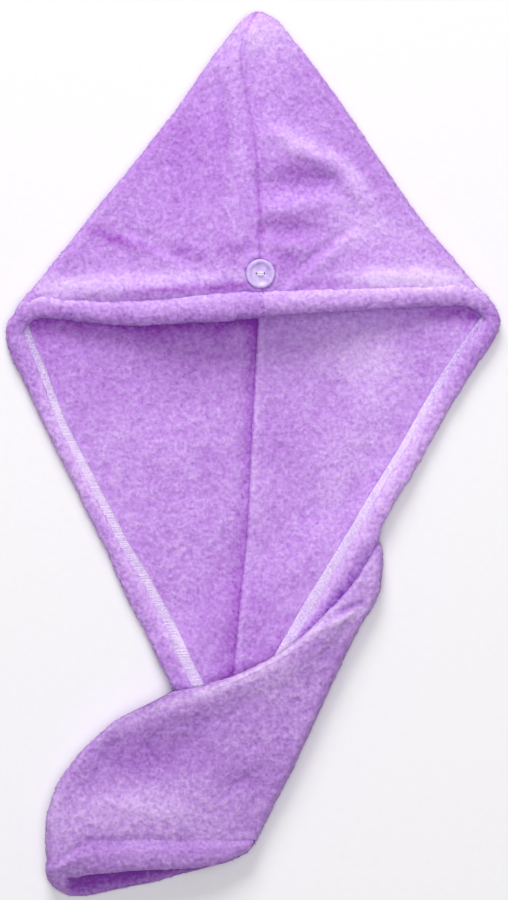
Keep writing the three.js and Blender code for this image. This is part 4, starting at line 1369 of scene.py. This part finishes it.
def cloth_piece(name, form, material, slot, node, density, shade, free, lumps, seed):
    """A cloth with its loose fibres, which stands for a node of the frame. shade gives the tone it loses to
    painted light and shade, and its tufts get painted shade in their dips.
    """
    points, quads, walls = form
    points = raised(points, quads[~walls], rough(points, lumps, seed), free)
    corners = points[quads]
    across = np.cross(corners[:, 2] - corners[:, 0], corners[:, 3] - corners[:, 1])
    fine = density(corners.mean(axis=1), unit(across)) > FINE_FROM * DENSITY
    points, faces, source = refined(points, quads, fine & ~walls)
    flat = walls[source]
    open_faces = faces[~flat]
    tufts = rough(points, TUFTS, seed)
    # painted shade: the tufts' dips are darker and their tops paler, and shade adds the piece's painted light
    # and shade
    tone = BASE_TONE + TUFT_PAINTED_SHADE * tufts - shade(points)
    points = raised(points, open_faces, tufts, free)
    declare(mesh_object(name, points, faces, material, flat=flat, tone=tone), slot, node)
    shape, triangles, soft, root, fibre_tone = fibres(points, open_faces, density, seed)
    tone = BASE_TONE + fibre_tone - shade(root)
    declare(mesh_object(f"{name}_pile", shape, triangles, material, tone=tone, normals=soft), slot)


def all_free(points):
    return np.ones(len(points))


# Bindings: a flat band of overlock stitching, with its threads crossing it on a slant

BINDING_STEPS = 150
BINDING_SIDES = 10
BINDING_LUMP = 2.0
BINDING_ROUGH = 0.15
STRAND_PITCH = 0.54
STRAND_SLANT = 1.4
STRAND_RADIUS = 0.22
STRAND_POINTS = 5
STRAND_RUN = 1.15
STRAND_JITTER = 0.25
STRAND_ARCH = 0.8
TUBE_SIDES = 5
UPRIGHT = 0.9
# painted shade along the bindings, by height: darkest at the top, under the rim
BINDING_PAINTED_SHADE = table(
    "y tone",
    (70, -0.3),
    (48, -0.22),
    (24, -0.05),
    (8, 0),
    (-16, -0.02),
    (-40, -0.1),
    (-124, -0.08),
)


def tubes(paths, radius, sides=TUBE_SIDES):
    """Joined closed tubes along many paths of as many points each."""
    count, steps = paths.shape[:2]
    ahead = unit(np.gradient(paths, axis=1))
    across = np.where(np.abs(ahead[..., 2:3]) > UPRIGHT, np.array([1.0, 0, 0]), np.array([0, 0, 1.0]))
    aside = unit(np.cross(ahead, across))
    over = np.cross(aside, ahead)
    turn = np.linspace(0, 2 * math.pi, sides, endpoint=False)[:, None]
    rings = paths[:, :, None] + radius * (np.cos(turn) * aside[:, :, None] + np.sin(turn) * over[:, :, None])
    ends = np.stack([paths[:, 0], paths[:, -1]], axis=1)
    points = np.concatenate([rings.reshape(count, -1, 3), ends], axis=1)
    quads = grid_quads(steps, sides, ring=True)
    around = np.arange(sides)
    start, end, last = steps * sides, steps * sides + 1, (steps - 1) * sides
    body = np.concatenate([quads[:, [0, 1, 2]], quads[:, [0, 2, 3]]])
    first = np.stack([np.full(sides, start), (around + 1) % sides, around], axis=-1)
    final = np.stack([np.full(sides, end), last + around, last + (around + 1) % sides], axis=-1)
    one = np.concatenate([body, first, final])
    size = points.shape[1]
    faces = (np.arange(count)[:, None, None] * size + one).reshape(-1, 3)
    return points.reshape(-1, 3), faces


def binding_line(side, y):
    """Middle line of a binding with its width and heading."""
    facts = side.binding
    wide = mix(*facts["wide"], (facts["top"] - y) / (facts["top"] - facts["end"]))
    bent = np.minimum(y, BINDING_BEND)
    x = hem_inner_x(side, bent, wide / 2 - BINDING_INTO_HEM) + side.way * facts["lean"] * (y - bent)
    z = lift_at(x, y) + WALL + BINDING_CLEAR + BINDING_HIGH / 2
    centres = np.stack([x, y, z], axis=-1)
    return centres, unit(np.gradient(centres, axis=0))[:, :2], wide


def binding(side, seed):
    """The flat band of a binding."""
    y = np.linspace(side.binding["top"], side.binding["end"], BINDING_STEPS)
    centres, heading, wide = binding_line(side, y)
    high = np.full(len(y), BINDING_HIGH)
    points, faces = capped(band(centres, heading, wide, high, BINDING_SIDES, HEM_SQUARENESS))
    rise = BINDING_ROUGH * noise(points, BINDING_LUMP, seed)[:, None]
    return points + point_normals(points, faces) * rise, faces


def strands(side, seed):
    """The threads over a binding. It is STRAND_RUN times as long as its reach in Y, because it slants."""
    draw = np.random.RandomState(seed)
    top, end = side.binding["top"], side.binding["end"]
    y = np.linspace(top, end, int((top - end) * STRAND_RUN / STRAND_PITCH))
    centres, heading, wide = binding_line(side, y)
    across = np.linspace(-1, 1, STRAND_POINTS)
    sideways = np.stack([-heading[:, 1], heading[:, 0]], axis=-1)[:, None]
    path = np.repeat(centres[:, None], STRAND_POINTS, axis=1)
    path[..., :2] += sideways * (across / 2)[None, :, None] * wide[:, None, None]
    slant = STRAND_SLANT * across[None, :] + STRAND_JITTER * draw.normal(size=(len(y), 1))
    path[..., :2] += heading[:, None] * slant[..., None]
    path[..., 2] += BINDING_HIGH / 2 * np.sqrt(1 - STRAND_ARCH * across ** 2)[None, :]
    return tubes(path, STRAND_RADIUS)


def binding_piece(name, side, form, *nodes):
    """A piece of a binding, with painted shade along the V, darkest at the top under the rim, which may stand
    for nodes of the frame.
    """
    points, faces = form
    tone = along(BINDING_PAINTED_SHADE, "y", points[:, 1], "tone") + side.binding["tone"]
    declare(mesh_object(name, points, faces, OVERLOCK, tone=tone), "overlock_thread", *nodes)


# Button: cast resin with a raised rim, two holes and a thread over them

BUTTON_SIDES = 72
BUTTON_PROFILE = table(
    "radius height",
    (5.6, 0),
    (6.6, 0.08),
    (7.15, 0.45),
    (7.4, 1.0),
    (7.4, 1.75),
    (7.2, 2.25),
    (6.75, 2.55),
    (6.2, 2.6),
    (5.6, 2.45),
    (5.0, 2.1),
    (4.4, 1.8),
    (3.6, 1.66),
    (2.4, 1.6),
)
HOLE_RADIUS = 0.7
HOLE_SPACING = 3.4
HOLE_SIDES = 24
DRILL_FROM = -1.0
THREAD_RADIUS = 0.3
THREAD_SIDES = 8
THREAD_STRANDS = 4
THREAD_PITCH = 1.7
THREAD_POINTS = 13
THREAD_FOOT = 0.2
THREAD_MIDDLE = 1.0
THREAD_TOP = 2.6
THREAD_REACH = 0.98
THREAD_BOW = 0.25


def lathe(radii, heights, sides):
    """A closed turned form, from the radius and the height of each of its rings."""
    turn = np.linspace(0, 2 * math.pi, sides, endpoint=False)[None, :]
    rings = np.stack([
        radii[:, None] * np.cos(turn),
        radii[:, None] * np.sin(turn),
        heights[:, None] + 0 * turn,
    ], axis=-1)
    return capped(rings)


def button():
    """The turned button, with its holes cut through."""
    points, faces = lathe(BUTTON_PROFILE["radius"], BUTTON_PROFILE["height"], BUTTON_SIDES)
    disc = mesh_object("pearl_button", points + SEAT, faces, PEARL)
    drills = []
    for end in (-1, 1):
        heights = np.array([DRILL_FROM, 2 * BUTTON_THICK])
        hole, hole_faces = lathe(np.full(2, HOLE_RADIUS), heights, HOLE_SIDES)
        drill = mesh_object("drill", hole + SEAT + [end * HOLE_SPACING / 2, 0, 0], hole_faces, PEARL)
        cut = disc.modifiers.new("hole", "BOOLEAN")
        cut.operation = "DIFFERENCE"
        cut.solver = "EXACT"
        cut.object = drill
        drills.append(drill)
    graph = bpy.context.evaluated_depsgraph_get()
    drilled = bpy.data.meshes.new_from_object(disc.evaluated_get(graph))
    disc.modifiers.clear()
    disc.data = drilled
    for drill in drills:
        bpy.data.objects.remove(drill)
    declare(disc, "pearl_plastic", "button")


def button_thread():
    """Strands side by side, up through one hole and down through the other."""
    reach = HOLE_SPACING / 2
    turn = np.linspace(math.pi, 0, THREAD_POINTS)
    over = THREAD_MIDDLE + (THREAD_TOP - THREAD_MIDDLE) * np.sin(turn) ** 0.5
    x = np.concatenate([[-reach], reach * np.cos(turn) * THREAD_REACH, [reach]])
    z = np.concatenate([[THREAD_FOOT], over, [THREAD_FOOT]])
    paths = []
    for strand in range(THREAD_STRANDS):
        aside = (strand - (THREAD_STRANDS - 1) / 2) * THREAD_PITCH * THREAD_RADIUS
        height = mix(z, THREAD_MIDDLE, THREAD_BOW * (strand % 2))
        paths.append(np.stack([x, np.full(len(x), aside), height], axis=-1))
    points, faces = tubes(np.array(paths) + SEAT, THREAD_RADIUS, THREAD_SIDES)
    strands_object = mesh_object("button_thread_strands", points, faces, BUTTON_SEWING)
    declare(strands_object, "sewing_thread", "button_thread")


# The towel

PANEL_SEED = 11
HEM_SEED = 13
TAIL_SEED = 15
BINDING_SEED = 17
STRAND_SEED = 18

for side in (LEFT, RIGHT):
    cloth_piece(f"{side.name}_cloth", panel(side), FLEECE, "fleece", f"{side.name}_panel",
                panel_density(side), panel_shade(side), panel_free, LUMPS, PANEL_SEED)
    cloth_piece(f"{side.name}_hem", hem(side), HEM_FLEECE, "fleece_hem", f"hem_{side.name}",
                open_density, hem_shade(side), all_free, PUCKER, HEM_SEED)
cloth_piece("tail_cloth", tail(), TAIL_FLEECE, "fleece", "tail",
            tail_density, tail_shade, all_free, LUMPS, TAIL_SEED)
cloth_piece("mouth_hem", tail_hem(), TAIL_FLEECE, "fleece_hem", "tail_hem",
            open_density, mouth_shade, all_free, LUMPS, TAIL_SEED)
for side in (LEFT, RIGHT):
    binding_piece(f"overlock_{side.name}", side, binding(side, BINDING_SEED), f"binding_{side.name}")
    binding_piece(f"overlock_strands_{side.name}", side, strands(side, STRAND_SEED))
button()
button_thread()


# Table, lights and camera, which looks straight down from CAMERA_FAR above the height VIEW_PLANE

PHOTO_HIGH = 900
MM_PER_PIXEL = 0.51
VIEW_X = 0.51
VIEW_Y = 2.04
VIEW_PLANE = 8.0
CAMERA_FAR = 3000.0
CAMERA_REACH = 20000.0
SENSOR = 36.0
TABLE_HALF = 3000.0
TABLE_DROP = 0.6

# Soft round lights that look at the origin, in metres and watts: place, width, power and colour
LIGHTS = {
    "key": ((-0.35, 2.1, 1.4), 1.3, 48, (1, 0.99, 0.98)),
    "overhead": ((0.2, -0.2, 2.6), 2.4, 34, (1, 0.99, 1)),
}
ROOM_LIGHT = 0.26


def add_table():
    half = TABLE_HALF * MM
    corners = [(-half, -half, 0), (half, -half, 0), (half, half, 0), (-half, half, 0)]
    mesh = bpy.data.meshes.new("table")
    mesh.from_pydata(corners, [], [(0, 1, 2, 3)])
    mesh.materials.append(pale_table())
    made = bpy.data.objects.new("table", mesh)
    made.location.z = -TABLE_DROP * MM
    bpy.context.scene.collection.objects.link(made)


def add_light(name, place, size, power, colour):
    light = bpy.data.lights.new(name, "AREA")
    light.shape = "DISK"
    light.size = size
    light.energy = power
    light.color = colour
    made = bpy.data.objects.new(name, light)
    made.location = place
    made.rotation_euler = (-Vector(place)).to_track_quat("-Z", "Y").to_euler()
    bpy.context.scene.collection.objects.link(made)


def add_room():
    world = bpy.data.worlds.new("studio")
    bpy.context.scene.world = world
    world.use_nodes = True
    background = world.node_tree.nodes["Background"]
    background.inputs["Color"].default_value = (1, 1, 1, 1)
    background.inputs["Strength"].default_value = ROOM_LIGHT


def add_camera():
    data = bpy.data.cameras.new("camera")
    data.sensor_width = SENSOR
    data.lens = SENSOR * CAMERA_FAR / (PHOTO_HIGH * MM_PER_PIXEL)
    data.clip_end = CAMERA_REACH * MM
    made = bpy.data.objects.new("camera", data)
    made.location = (VIEW_X * MM, VIEW_Y * MM, (CAMERA_FAR + VIEW_PLANE) * MM)
    bpy.context.scene.collection.objects.link(made)
    bpy.context.scene.camera = made


add_table()
for name, facts in LIGHTS.items():
    add_light(name, *facts)
add_room()
add_camera()
bpy.context.scene.view_settings.view_transform = "Standard"
